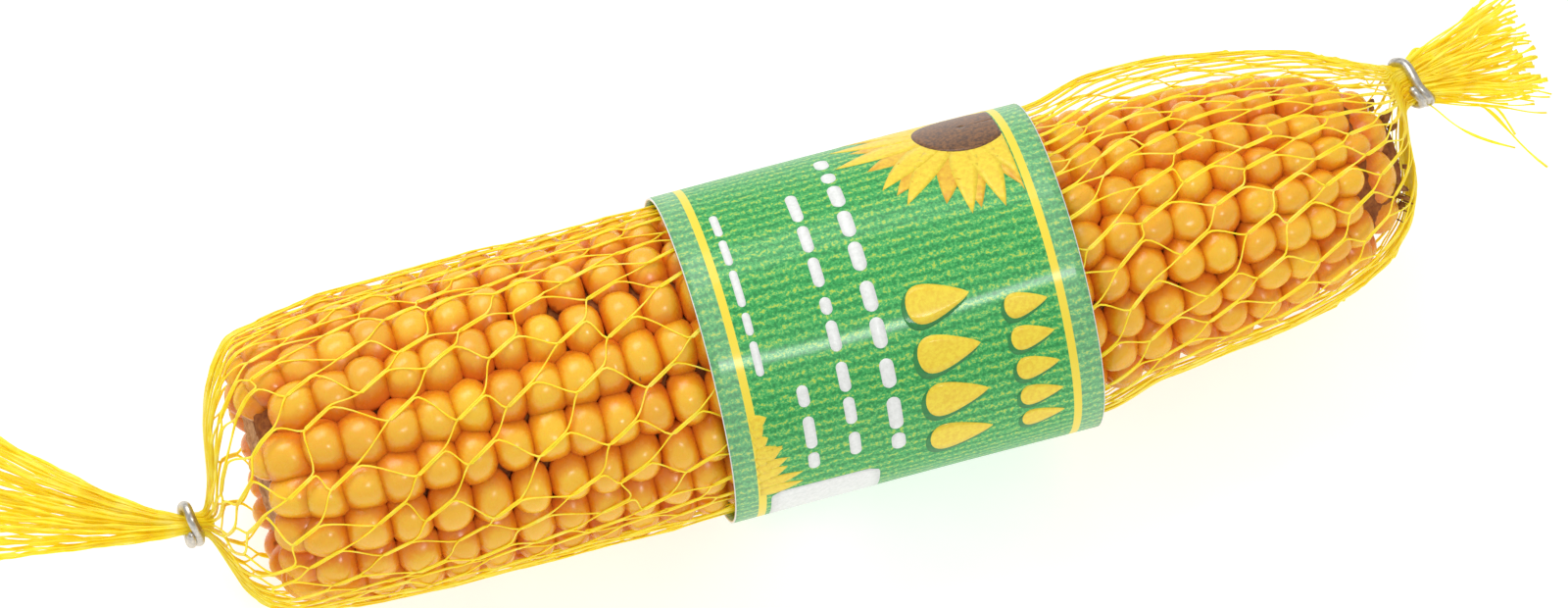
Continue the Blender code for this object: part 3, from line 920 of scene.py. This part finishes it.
def net_places(tree, look):
    """Every strand's points in space with its outward way, laid over the kernels and pulled taut."""
    walked, xs = net_walk()
    butt_arc, off, whole = net_angles(*BUTT_SPARE)
    tip_arc, off, whole = net_angles(*TIP_SPARE)
    draw = random.Random(77)
    moves = {}

    def jitter(key):
        """How far this bond lies off the even lattice, the same for both strands that meet in it."""
        if key not in moves:
            moves[key] = np.array((draw.gauss(0, 1.15), draw.gauss(0, 0.9)))
        return moves[key]

    strands = []
    for kind, how_many in ((0, FIRST_SET), (1, SECOND_SET)):
        for number in range(how_many):
            line, side, bonds = lattice_strand(kind, number, jitter, (0.0, walked[-1]))
            reach = np.clip(line[:, 0], 0.0, walked[-1])
            keep = (line[:, 0] > -1.0) & (line[:, 0] < walked[-1] + 1.0)
            x = np.interp(reach, walked, xs)
            wound = (line[:, 1] + whole / 2) % whole - whole / 2
            # The net is gathered differently beyond the sleeve, which hides the change.
            beyond = np.clip((x - SLEEVE_START) / (SLEEVE_END - SLEEVE_START), 0.0, 1.0)
            beyond = beyond * beyond * (3 - 2 * beyond)
            turned = np.interp(wound, butt_arc, off) * (1 - beyond) + np.interp(wound, tip_arc, off) * beyond
            angle = math.radians(SHOWN_SIDE) - turned
            row = net_station(x)
            way = np.stack([np.zeros(len(x)), row[:, 0] * np.sin(angle), -row[:, 1] * np.cos(angle)], axis=1)
            middle = np.stack([x, row[:, 2], AXIS_HEIGHT + row[:, 3]], axis=1)
            size = np.linalg.norm(way, axis=1)
            outward = way / size[:, None]
            touch = np.zeros(len(x))
            for n in np.flatnonzero(size > 6.0):
                origin = middle[n] + outward[n] * (size[n] + 9.0)
                hit = tree.ray_cast(Vector(origin), Vector(-outward[n]))
                if hit[0] is not None:
                    touch[n] = max(0.0, size[n] + 9.0 - hit[3])
            strands.append({
                "x": x, "angle": angle, "middle": middle, "outward": outward, "size": size,
                "touch": touch, "side": side, "bonds": bonds, "keep": keep,
            })
    thread = look.thread / MM / 2
    for strand in strands:
        size = strand["size"]
        x = strand["x"]
        # The net clings along the cob's body and stands off towards the two necks.
        cling = np.interp(x, *zip(*CLING))
        least = np.maximum(strand["touch"] + thread, size * (1 - cling))
        turn = np.gradient(np.unwrap(strand["angle"]))
        sag = size * turn ** 2 / 2
        reach = least.copy()
        for _ in range(PULL_ROUNDS):
            middle = (np.roll(reach, 1) + np.roll(reach, -1)) / 2 - sag
            middle[0] = reach[0]
            middle[-1] = reach[-1]
            reach = np.maximum(least, middle)
        # At both necks the middle moves aside too fast for that, so the strands follow the neck itself.
        free = np.clip((x + 98.5) / 3.0, 0.0, 1.0) * np.clip((81.5 - x) / 4.0, 0.0, 1.0)
        reach = least + (reach - least) * free
        strand["reach"] = reach
        strand["least"] = least
    met = {}
    for strand in strands:
        for first, key in strand["bonds"]:
            met.setdefault(key, []).append(strand["reach"][first:first + BOND_POINTS])
    for strand in strands:
        fixed = np.full(len(strand["reach"]), np.nan)
        for first, key in strand["bonds"]:
            fixed[first:first + BOND_POINTS] = np.mean(met[key], axis=0)
        held = ~np.isnan(fixed)
        strand["reach"][held] = np.maximum(fixed[held], strand["touch"][held] + thread * 0.8)
        # Under the sleeve the strands are pressed flat against the kernels.
        under = (strand["x"] > SLEEVE_START - 0.5) & (strand["x"] < SLEEVE_END + 0.5)
        most = SLEEVE_RADIUS - WALL - thread - 0.1
        strand["reach"][under] = np.minimum(strand["reach"][under], most)
        path = strand["middle"] + strand["outward"] * strand["reach"][:, None]
        along = np.gradient(path, axis=0)
        along /= np.linalg.norm(along, axis=1)[:, None] + 1e-9
        across = np.cross(strand["outward"], along)
        shrink = np.clip(strand["size"] / 8.0, 0.15, 1.0)
        path = path + across * (strand["side"] * look.thread / MM * 0.52 * shrink)[:, None]
        path[:, 2] = np.maximum(path[:, 2], thread + 0.05)
        strand["path"] = path
    return strands


def make_body_net(look, skin):
    """The knotless net from clip to clip. Each strand is a thread that meets its neighbours at the bonds."""
    strands = net_places(kernel_tree(), look)
    points, faces = [], []
    for strand in strands:
        # Half of the points are enough where the sleeve hides the strands.
        hidden = np.abs(strand["x"]) < HIDDEN_REACH
        spare = np.arange(len(hidden)) % 2 == 1
        keep = strand["keep"] & ~(hidden & spare)
        path = strand["path"][keep]
        near = np.clip(np.abs(strand["side"][keep]), 0, 1)
        half = look.thread / MM / 2 * (0.92 + 0.50 * near) * np.clip(strand["size"][keep] / 7.0, 0.75, 1.0)
        # The net is stretched less, and so is thicker, where it gathers at the butt.
        half *= 1 + 0.35 * np.clip((-91.0 - strand["x"][keep]) / 4.0, 0, 1)
        rings = tube(path, half, half * (0.90 - 0.05 * near), strand["outward"][keep], 5)
        first = len(points)
        points.extend(rings)
        faces.extend(tube_faces(len(path), 5, first))
    net = new_mesh("net_body", points, faces)
    net.data.materials.append(skin)
    return net


def make_tail(name, look, skin, butt):
    """The net's gathered end beyond a clip, fanned out in loose threads with thicker bonded lengths."""
    draw = random.Random(11 if butt else 23)
    clip_x = BUTT_CLIP_X if butt else TIP_CLIP_X
    way = -1.0 if butt else 1.0
    root = net_station(clip_x)
    points, faces = [], []
    count = 104 if butt else 120
    for n in range(count):
        spread = (n + 0.5) / count * 2 - 1
        spread = spread + draw.uniform(-0.10, 0.10)
        depth = draw.uniform(-1, 1)
        reach = (32.5 if butt else 19.0) * draw.uniform(0.84, 1.05)
        if not butt and draw.random() < 0.25:
            reach *= draw.uniform(0.6, 0.9)
        start_y = root[2] + root[0] * 0.75 * spread * (0.8 if butt else 0.9)
        start_z = root[3] + root[1] * 0.55 * depth
        if butt:
            end_y = 12.6 + 12.0 * spread
            end_z = -3.0 + 3.6 * depth
        else:
            end_y = 14.2 + 9.4 * spread
            end_z = 2.0 + 3.4 * depth
        samples = 26
        t = np.linspace(0, 1, samples)
        x = clip_x - way * 3.5 + way * (reach + 3.5) * t
        ease = np.clip(t - 0.10, 0, None) / 0.90
        fan = ease ** (1.30 if butt else 1.05)
        y = start_y + (end_y - start_y) * fan
        z = start_z + (end_z - start_z) * fan
        bend = draw.uniform(-1, 1) * (0.9 if butt else 1.2)
        sway = draw.uniform(0, math.tau)
        y = y + bend * np.sin(t * math.pi * draw.uniform(1.2, 2.6) + sway) * ease
        z = z + 0.6 * bend * np.cos(t * math.pi * draw.uniform(1.2, 2.6) + sway) * ease
        # A zigzag is left from the net's own bends.
        beat = draw.uniform(0, math.tau)
        y = y + 0.28 * np.sin(t * reach / 8.6 * math.tau + beat) * ease
        if not butt and n % 19 == 3:
            # A few loose threads droop and curl.
            y = y - (t ** 2) * draw.uniform(6, 10) + 1.3 * np.sin(7 * t + sway) * t
            x = x - 1.6 * (1 - np.cos(7 * t + sway)) * t
            z = z - (t ** 2) * draw.uniform(0, 3)
        path = np.stack([x, y, AXIS_HEIGHT + z], axis=1)
        path[:, 2] = np.maximum(path[:, 2], 0.5)
        bonded = np.clip(np.sin(t * reach / 8.6 * math.tau + beat) * 1.8 - 0.5, 0, 1)
        half = look.thread / MM / 2 * (1.15 + 1.5 * bonded * draw.uniform(0.5, 1.1))
        half[-2:] *= 1.35
        lay = np.array([0.0, 0.15 + 0.5 * draw.uniform(-1, 1), 1.0])
        rings = tube(path, half, half * 0.45, lay, 6)
        first = len(points)
        points.extend(rings)
        faces.extend(tube_faces(samples, 6, first))
    tail = new_mesh(name, points, faces)
    tail.data.materials.append(skin)
    return tail


def make_net(look):
    """The net over the cob and its two tails. They stand for the CAD net."""
    skin = net_material(look)
    net = make_body_net(look, skin)
    make_tail("net_tail_butt", look, skin, True)
    make_tail("net_tail_tip", look, skin, False)
    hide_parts("net")


# ---------------------------------------------------------------- clips


def make_clip(name, node, box, look, metal):
    """A crimped wire clip: one and a third turns of soft wire round the gathered net, with rounded ends."""
    lo, hi = box[0] / MM, box[1] / MM
    wire = look.wire / MM / 2
    middle = (lo + hi) / 2
    half = (hi - lo) / 2
    turns = 1.34
    samples = 90
    t = np.linspace(0, 1, samples)
    start = 205.0 if node == "clip_tip_end" else 250.0
    angle = np.radians(start) + t * turns * math.tau
    # The wire lies flatter on its two long sides, as pliers leave it.
    c = np.sign(np.cos(angle)) * np.abs(np.cos(angle)) ** 0.82
    s = np.sign(np.sin(angle)) * np.abs(np.sin(angle)) ** 0.82
    x = middle.x + (t - 0.5) * 1.5
    lean = 1.15 if node == "clip_tip_end" else 0.35
    x = x - lean * s + 0.32 * lean * np.sin(3 * angle)
    path = np.stack([x, middle.y + (half.y - wire) * s, middle.z - (half.z - wire) * c], axis=1)
    size = np.full(samples, wire)
    ends = np.minimum(t, 1 - t) * samples
    size *= np.sqrt(np.clip(1 - (1 - np.clip(ends / 3.2, 0.02, 1)) ** 2, 0.05, 1))
    up = np.stack([np.zeros(samples), s, -c], axis=1)
    rings = tube(path, size * 1.03, size * 0.97, up, 14)
    clip = new_mesh(name, rings, tube_faces(samples, 14))
    clip.data.materials.append(metal)
    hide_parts(node)
    return clip


def make_clips(look):
    """Both wire clips. Each stands for its CAD node."""
    metal = clip_material(look)
    make_clip("wire_clip_butt", "clip_butt_end", BUTT_CLIP_BOX, look, metal)
    make_clip("wire_clip_tip", "clip_tip_end", TIP_CLIP_BOX, look, metal)


# ---------------------------------------------------------------- sleeve


def sleeve_place(x, angle, lift):
    """A point on the sleeve's outside, lifted off it, in mm, flat where the sleeve rests."""
    wave = 0.10 * np.sin(3 * angle + 0.4) * np.cos(x / 17.0) + 0.07 * np.sin(7 * angle + x / 11.0)
    fade = np.clip(np.abs((angle + math.pi) % math.tau - math.pi) / math.radians(35) - 0.5, 0, 1)
    r = SLEEVE_RADIUS + lift - 0.12 + wave * fade
    y = r * np.sin(angle)
    z = AXIS_HEIGHT - r * np.cos(angle)
    return np.stack([x + 0 * angle, y, np.maximum(z, lift + WALL)], axis=-1)


def print_place(px, pv, lift):
    """A point on the print, px mm along the sleeve and pv mm round it from the middle of the shown side."""
    angle = math.radians(SHOWN_SIDE) - np.asarray(pv, float) / SLEEVE_RADIUS
    return sleeve_place(np.asarray(px, float), angle, lift)


def make_paper(look):
    """The paper tube with a lapped and glued seam low at the back."""
    around = 260
    along = 44
    lap = math.radians(24)
    t = np.linspace(0, 1, around)
    angle = SEAM_ANGLE - t * (math.tau + lap)
    swept = t * (math.tau + lap)
    over = np.clip((swept - math.tau + math.radians(9)) / math.radians(9), 0, 1) * (WALL + 0.06)
    x = np.linspace(SLEEVE_START, SLEEVE_END, along)
    outer, inner, sheet = [], [], []
    for n in range(around):
        ring = np.full(along, angle[n])
        outer.append(sleeve_place(x, ring, over[n]))
        down = sleeve_place(x, ring, over[n] - WALL)
        down[:, 2] = np.maximum(down[:, 2], WALL + over[n])
        outer[-1][:, 2] = np.maximum(outer[-1][:, 2], over[n])
        low = outer[-1][:, 2] < WALL + 0.02
        outer[-1][low, 2] = 0.0
        inner.append(down)
        pv = (math.radians(SHOWN_SIDE) - angle[n]) * SLEEVE_RADIUS
        sheet.append(np.stack([x, np.full(along, pv)], axis=1))
    count = around * along
    points = np.concatenate([np.concatenate(outer), np.concatenate(inner)])
    faces = []
    for n in range(around - 1):
        for m in range(along - 1):
            a = n * along + m
            faces.append((a, a + along, a + along + 1, a + 1))
            faces.append((count + a, count + a + 1, count + a + along + 1, count + a + along))
    for n in range(around - 1):
        a = n * along
        b = a + along - 1
        faces.append((a, count + a, count + a + along, a + along))
        faces.append((b, b + along, count + b + along, count + b))
    for m in range(along - 1):
        b = (around - 1) * along + m
        faces.append((m, m + 1, count + m + 1, count + m))
        faces.append((b, count + b, count + b + 1, b + 1))
    paper = new_mesh("paper_sleeve", points, faces)
    flat = np.concatenate(sheet)
    flat = np.concatenate([flat, flat])
    layer = paper.data.uv_layers.new(name="sheet_mm")
    corner = np.zeros(len(paper.data.loops), np.int32)
    paper.data.loops.foreach_get("vertex_index", corner)
    layer.data.foreach_set("uv", flat[corner].astype(np.float32).ravel())
    paper.data.materials.append(coated_paper_material(look))
    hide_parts("sleeve")
    return paper


def patch(rows, lift, first):
    """A thin closed slip of ink over a grid of print places, with its faces."""
    grid = np.array(rows, float)
    high, wide = grid.shape[:2]
    top = print_place(grid[..., 0], grid[..., 1], lift).reshape(-1, 3)
    bottom = print_place(grid[..., 0], grid[..., 1], -0.06).reshape(-1, 3)
    count = high * wide
    faces = []
    for i in range(high - 1):
        for j in range(wide - 1):
            a = first + i * wide + j
            faces.append((a, a + 1, a + wide + 1, a + wide))
            faces.append((count + a, count + a + wide, count + a + wide + 1, count + a + 1))
    rim = [j for j in range(wide)]
    rim += [i * wide + wide - 1 for i in range(1, high)]
    rim += [(high - 1) * wide + j for j in range(wide - 2, -1, -1)]
    rim += [i * wide for i in range(high - 2, 0, -1)]
    for k, a in enumerate(rim):
        b = rim[(k + 1) % len(rim)]
        faces.append((first + b, first + a, first + count + a, first + count + b))
    return np.concatenate([top, bottom]), faces


def petal(centre, heading, start, end, half, curl):
    """The print places of one petal, pointed at both ends."""
    rows = []
    for t in np.linspace(0, 1, 9):
        along = start + (end - start) * t
        width = half * (math.sin(math.pi * (0.16 + 0.84 * t) ** 0.8) + 0.05) * (1 if t < 0.98 else 0.3)
        bend = curl * t * t
        row = []
        for s in (-1, -0.5, 0, 0.5, 1):
            across = s * width + bend
            row.append((
                centre[0] + math.cos(heading) * along - math.sin(heading) * across,
                centre[1] + math.sin(heading) * along + math.cos(heading) * across,
            ))
        rows.append(row)
    return rows


def kernel_shape(centre, long, wide):
    """The print places of a drop-shaped maize grain, its point at the root."""
    rows = []
    for t in 0.5 - 0.5 * np.cos(np.linspace(0, math.pi, 19)):
        half = wide / 2 * max(1.22 * t ** 0.75 * math.sqrt(max(0.0, 1 - t ** 5)), 0.02)
        rows.append([(centre[0] + long * (0.5 - t), centre[1] + half * s) for s in (-1, -0.6, 0, 0.6, 1)])
    return rows


def dash(px, pv, long, wide):
    """The print places of a rounded bar that runs round the sleeve."""
    rows = []
    for t in (1 - np.cos(np.linspace(0, math.pi, 17))) / 2:
        edge = min(t, 1 - t) * long
        half = wide / 2 * math.sqrt(max(0.01, 1 - (1 - min(1.0, edge / (wide / 2))) ** 2))
        rows.append([(px + half * s, pv + long * (t - 0.5)) for s in (-1, 0, 1)])
    return rows


def ring_patch(centre, radius, lift, clip_at):
    """A thin round slip of ink, cut straight along the printed line."""
    rings, sides = 9, 48
    rows = []
    for k in range(sides + 1):
        turn = k / sides * math.tau
        row = []
        for i in range(rings):
            r = radius * max(i / (rings - 1), 0.02)
            row.append((min(clip_at, centre[0] + r * math.cos(turn)), centre[1] + r * math.sin(turn)))
        rows.append(row)
    return patch(rows, lift, 0)


def make_print_piece(name, shapes, lift, ink):
    """One ink layer made of many shapes."""
    points, faces = [], []
    for rows in shapes:
        slip, sides = patch(rows, lift, len(points))
        points.extend(slip)
        faces.extend(sides)
    layer = new_mesh(name, points, faces)
    layer.data.materials.append(ink)
    return layer


def make_print(look):
    """The printed ornaments: a plain sunflower, grain shapes, leaf rays, white bars and a blank panel."""
    yellow = ink_material("yellow_ink", "#EFC92B", look.line_yellow, 1500.0)
    shade = ink_material("dark_green_ink", "#1F7A38", "#2A8A42", 1500.0)
    white = ink_material("white_ink", "#E6E8E4", look.paper_white, 1500.0)
    brown = ink_material("brown_ink", "#4A2A14", "#8A5A2A", 1900.0)
    deep_yellow = ink_material("golden_ink", "#E3A51E", "#F2C92E", 900.0)
    draw = random.Random(5)
    centre = (18.2, 29.5)
    limit = 23.1
    back_petals, front_petals = [], []
    for n in range(17):
        heading = math.tau * (n + 0.5) / 17 + draw.uniform(-0.06, 0.06)
        end = 17.5 + draw.uniform(-1.0, 1.0)
        back_petals.append(petal(centre, heading, 5.5, end, 2.2, draw.uniform(-1, 1)))
    for n in range(17):
        heading = math.tau * n / 17 + draw.uniform(-0.06, 0.06)
        end = 19.6 + draw.uniform(-1.2, 1.0)
        front_petals.append(petal(centre, heading, 5.0, end, 2.0, draw.uniform(-1, 1)))
    for group in (back_petals, front_petals):
        for rows in group:
            for row in rows:
                row[:] = [(min(limit, px), pv) for px, pv in row]
    make_print_piece("print_back_petals", back_petals, 0.03, deep_yellow)
    make_print_piece("print_petals", front_petals, 0.045, yellow)
    slip, sides = ring_patch(centre, 7.4, 0.06, limit)
    heart = new_mesh("print_flower_heart", slip, sides)
    heart.data.materials.append(brown)
    big = [(6.2, pv) for pv in (-0.6, -8.2, -15.8, -23.4)]
    small = [(18.6, pv) for pv in (-4.2, -9.2, -14.2, -19.2, -24.2)]
    shapes = [kernel_shape(c, 9.4, 6.8) for c in big] + [kernel_shape(c, 6.4, 4.4) for c in small]
    shadows = [kernel_shape((c[0] - 0.6, c[1] - 0.6), 9.7, 7.2) for c in big]
    shadows += [kernel_shape((c[0] - 0.5, c[1] - 0.5), 6.6, 4.7) for c in small]
    make_print_piece("print_shadows", shadows, 0.025, shade)
    rays = []
    for n in range(9):
        pv = -25.6 + n * 1.75
        long = 6.6 - 0.62 * n + draw.uniform(-0.9, 0.9)
        rays.append(petal((-24.2, pv), draw.uniform(-0.1, 0.45), 0.0, long, 1.15, draw.uniform(-0.4, 0.8)))
    make_print_piece("print_yellow", shapes + rays, 0.05, yellow)
    bars = []
    # Each line of bars: its place along the sleeve, where it starts and stops round it, and its width.
    for px, top, bottom, wide in (
        (-21.2, 22.4, -4.8, 1.2), (-15.9, -7.6, -24.6, 1.7),
        (-9.6, 22.4, -24.6, 1.7), (-3.2, 30.5, -26.0, 2.1),
    ):
        pv = top
        while pv > bottom + 2.2:
            long = min(draw.choice((2.6, 3.4, 4.6, 5.8)), pv - bottom)
            bars.append(dash(px, pv - long / 2, long, wide))
            pv -= long + draw.choice((0.9, 0.9, 1.6))
    panel = []
    for pv in np.linspace(-26.6, -47.0, 26):
        edge = min(-26.6 - pv, pv + 47.0)
        inset = 1.6 - math.sqrt(max(0.0, 1.6 ** 2 - (1.6 - min(1.6, edge)) ** 2))
        panel.append([(px, pv) for px in np.linspace(-22.6 + inset, -6.2 - inset, 9)])
    make_print_piece("print_white", bars + [panel], 0.04, white)


# ---------------------------------------------------------------- add-on classes


def length_prop(name, text, default):
    """A length setting in metres."""
    return bpy.props.FloatProperty(name=name, description=text, default=default, unit="LENGTH")


def hex_prop(name, text, default):
    """A colour setting as an sRGB hex value."""
    return bpy.props.StringProperty(name=name, description=text, default=default)


class CobStageSettings(bpy.types.PropertyGroup):
    azimuth: bpy.props.FloatProperty(name="Azimuth", description="Camera turn in degrees", default=-16.2)
    elevation: bpy.props.FloatProperty(name="Elevation", description="Camera height in degrees", default=64.0)
    distance: length_prop("Distance", "Camera distance from its aim", 1.1)
    lens: bpy.props.FloatProperty(name="Lens", description="Focal length in mm", default=172.0)
    slide_along: length_prop("Slide along", "Aim point along the cob as seen", -0.0123)
    slide_across: length_prop("Slide across", "Aim point across the cob as seen", 0.0045)
    sky_strength: bpy.props.FloatProperty(name="Sky", description="Even light from all round", default=0.62)
    key_power: bpy.props.FloatProperty(name="Key", description="Main light", default=3.4, subtype="POWER")
    front_power: bpy.props.FloatProperty(
        name="Front", description="Front light", default=1.9, subtype="POWER",
    )
    floor_glow: bpy.props.FloatProperty(name="Glow", description="Light the card gives off", default=0.61)
    floor_colour: hex_prop("Floor", "Colour of the card", "#C9C9C8")


class CobKernelSettings(bpy.types.PropertyGroup):
    rows: bpy.props.IntProperty(name="Rows", description="Rows of kernels round the cob", default=18, min=6)
    pitch: bpy.props.FloatProperty(name="Pitch", description="Kernel spacing along a row in mm", default=5.0)
    last_row: bpy.props.FloatProperty(name="Last row", description="Where the rows stop, in mm", default=76.4)
    dome: bpy.props.FloatProperty(name="Dome", description="Height of a crown in mm", default=3.3)
    seed: bpy.props.IntProperty(name="Seed", description="Which set of small differences", default=12)
    crown_colour: hex_prop("Crown", "Palest part of a kernel", "#F6BC34")
    body_colour: hex_prop("Body", "Most of a kernel", "#EE9C1A")
    side_colour: hex_prop("Side", "Lower side of a kernel", "#E6881E")
    # Flank and groove are partly the kernels' own deep orange and partly painted shade between the rows.
    flank_colour_and_shade: hex_prop("Flank", "Side wall between kernels", "#EA882C")
    groove_colour_and_shade: hex_prop("Groove", "Deepest part between rows", "#DC7628")
    wood_deep: hex_prop("Wood, deep", "Core in the hollows", "#6A3012")
    wood_pale: hex_prop("Wood, pale", "Core on the ridges", "#A8662C")
    pith_deep: hex_prop("Pith, deep", "Cut end in the hollows", "#A86A44")
    pith_pale: hex_prop("Pith, pale", "Cut end on the ridges", "#E8BE94")
    chaff_deep: hex_prop("Chaff, deep", "Darkest chaff", "#5E3618")
    chaff_pale: hex_prop("Chaff, pale", "Palest chaff", "#C08A50")


class CobNetSettings(bpy.types.PropertyGroup):
    thread: length_prop("Thread", "Diameter of one thread", 0.00027)
    thread_glow: bpy.props.FloatProperty(
        name="Thread glow", description="Added light in the net, chosen for its look", default=0.11,
    )
    thread_colour: hex_prop("Thread", "Most of the net", "#FFE420")
    deep_colour: hex_prop("Deep", "Thicker lengths", "#FBD212")
    pale_colour: hex_prop("Pale", "Stretched lengths", "#FFEC5C")


class CobClipSettings(bpy.types.PropertyGroup):
    wire: length_prop("Wire", "Diameter of the wire", 0.00145)
    dull_colour: hex_prop("Dull", "Worn metal", "#A9A49A")
    bright_colour: hex_prop("Bright", "Bright metal", "#D8D4CC")


class CobSleeveSettings(bpy.types.PropertyGroup):
    green: hex_prop("Green", "Most of the ground", "#2CA850")
    dark_green: hex_prop("Dark green", "Dark streaks", "#16883C")
    light_green: hex_prop("Light green", "Light streaks", "#56BC62")
    speck_green: hex_prop("Specks", "Screen specks", "#BAD244")
    line_yellow: hex_prop("Yellow", "Lines and ornaments", "#F8DE3A")
    paper_white: hex_prop("White", "Bare paper", "#F4F5F2")


class COB_OT_stage(bpy.types.Operator):
    """Make the camera, floor and lights"""
    bl_idname = "cob.stage"
    bl_label = "Make stage"

    def execute(self, context):
        make_stage(context.scene.cob_stage)
        return {"FINISHED"}


class COB_OT_kernels(bpy.types.Operator):
    """Make the kernels, core, end faces and chaff"""
    bl_idname = "cob.kernels"
    bl_label = "Make kernels"

    def execute(self, context):
        make_kernels(context.scene.cob_kernels)
        return {"FINISHED"}


class COB_OT_net(bpy.types.Operator):
    """Lay the net over the kernels and fan out its tails"""
    bl_idname = "cob.net"
    bl_label = "Make net"

    def execute(self, context):
        make_net(context.scene.cob_net)
        return {"FINISHED"}


class COB_OT_clips(bpy.types.Operator):
    """Make the two wire clips"""
    bl_idname = "cob.clips"
    bl_label = "Make clips"

    def execute(self, context):
        make_clips(context.scene.cob_clips)
        return {"FINISHED"}


class COB_OT_sleeve(bpy.types.Operator):
    """Make the paper sleeve and its print"""
    bl_idname = "cob.sleeve"
    bl_label = "Make sleeve"

    def execute(self, context):
        make_paper(context.scene.cob_sleeve)
        make_print(context.scene.cob_sleeve)
        return {"FINISHED"}


class COB_PT_panel(bpy.types.Panel):
    """Lists the settings and steps of the netted corn cob"""
    bl_idname = "COB_PT_panel"
    bl_label = "Corn cob"
    bl_space_type = "VIEW_3D"
    bl_region_type = "UI"
    bl_category = "Corn cob"

    def draw(self, context):
        for title, group, operator in STEPS:
            box = self.layout.box()
            box.label(text=title)
            settings = getattr(context.scene, group)
            for name in settings.bl_rna.properties.keys():
                if name not in ("rna_type", "name"):
                    box.prop(settings, name)
            box.operator(operator)


STEPS = (
    ("Stage", "cob_stage", "cob.stage"),
    ("Kernels", "cob_kernels", "cob.kernels"),
    ("Net", "cob_net", "cob.net"),
    ("Clips", "cob_clips", "cob.clips"),
    ("Sleeve", "cob_sleeve", "cob.sleeve"),
)
SETTINGS = {
    "cob_stage": CobStageSettings,
    "cob_kernels": CobKernelSettings,
    "cob_net": CobNetSettings,
    "cob_clips": CobClipSettings,
    "cob_sleeve": CobSleeveSettings,
}
CLASSES = (
    *SETTINGS.values(), COB_OT_stage, COB_OT_kernels, COB_OT_net, COB_OT_clips, COB_OT_sleeve, COB_PT_panel,
)


def register():
    """Registers the classes and hangs the settings on the scene."""
    for one in CLASSES:
        bpy.utils.register_class(one)
    for name, group in SETTINGS.items():
        setattr(bpy.types.Scene, name, bpy.props.PointerProperty(type=group))


def unregister():
    """Takes away what register made."""
    for name in SETTINGS:
        delattr(bpy.types.Scene, name)
    for one in reversed(CLASSES):
        bpy.utils.unregister_class(one)


def main():
    register()
    bpy.ops.cob.stage()
    bpy.ops.cob.kernels()
    bpy.ops.cob.net()
    bpy.ops.cob.clips()
    bpy.ops.cob.sleeve()


if __name__ == "__main__":
    main()
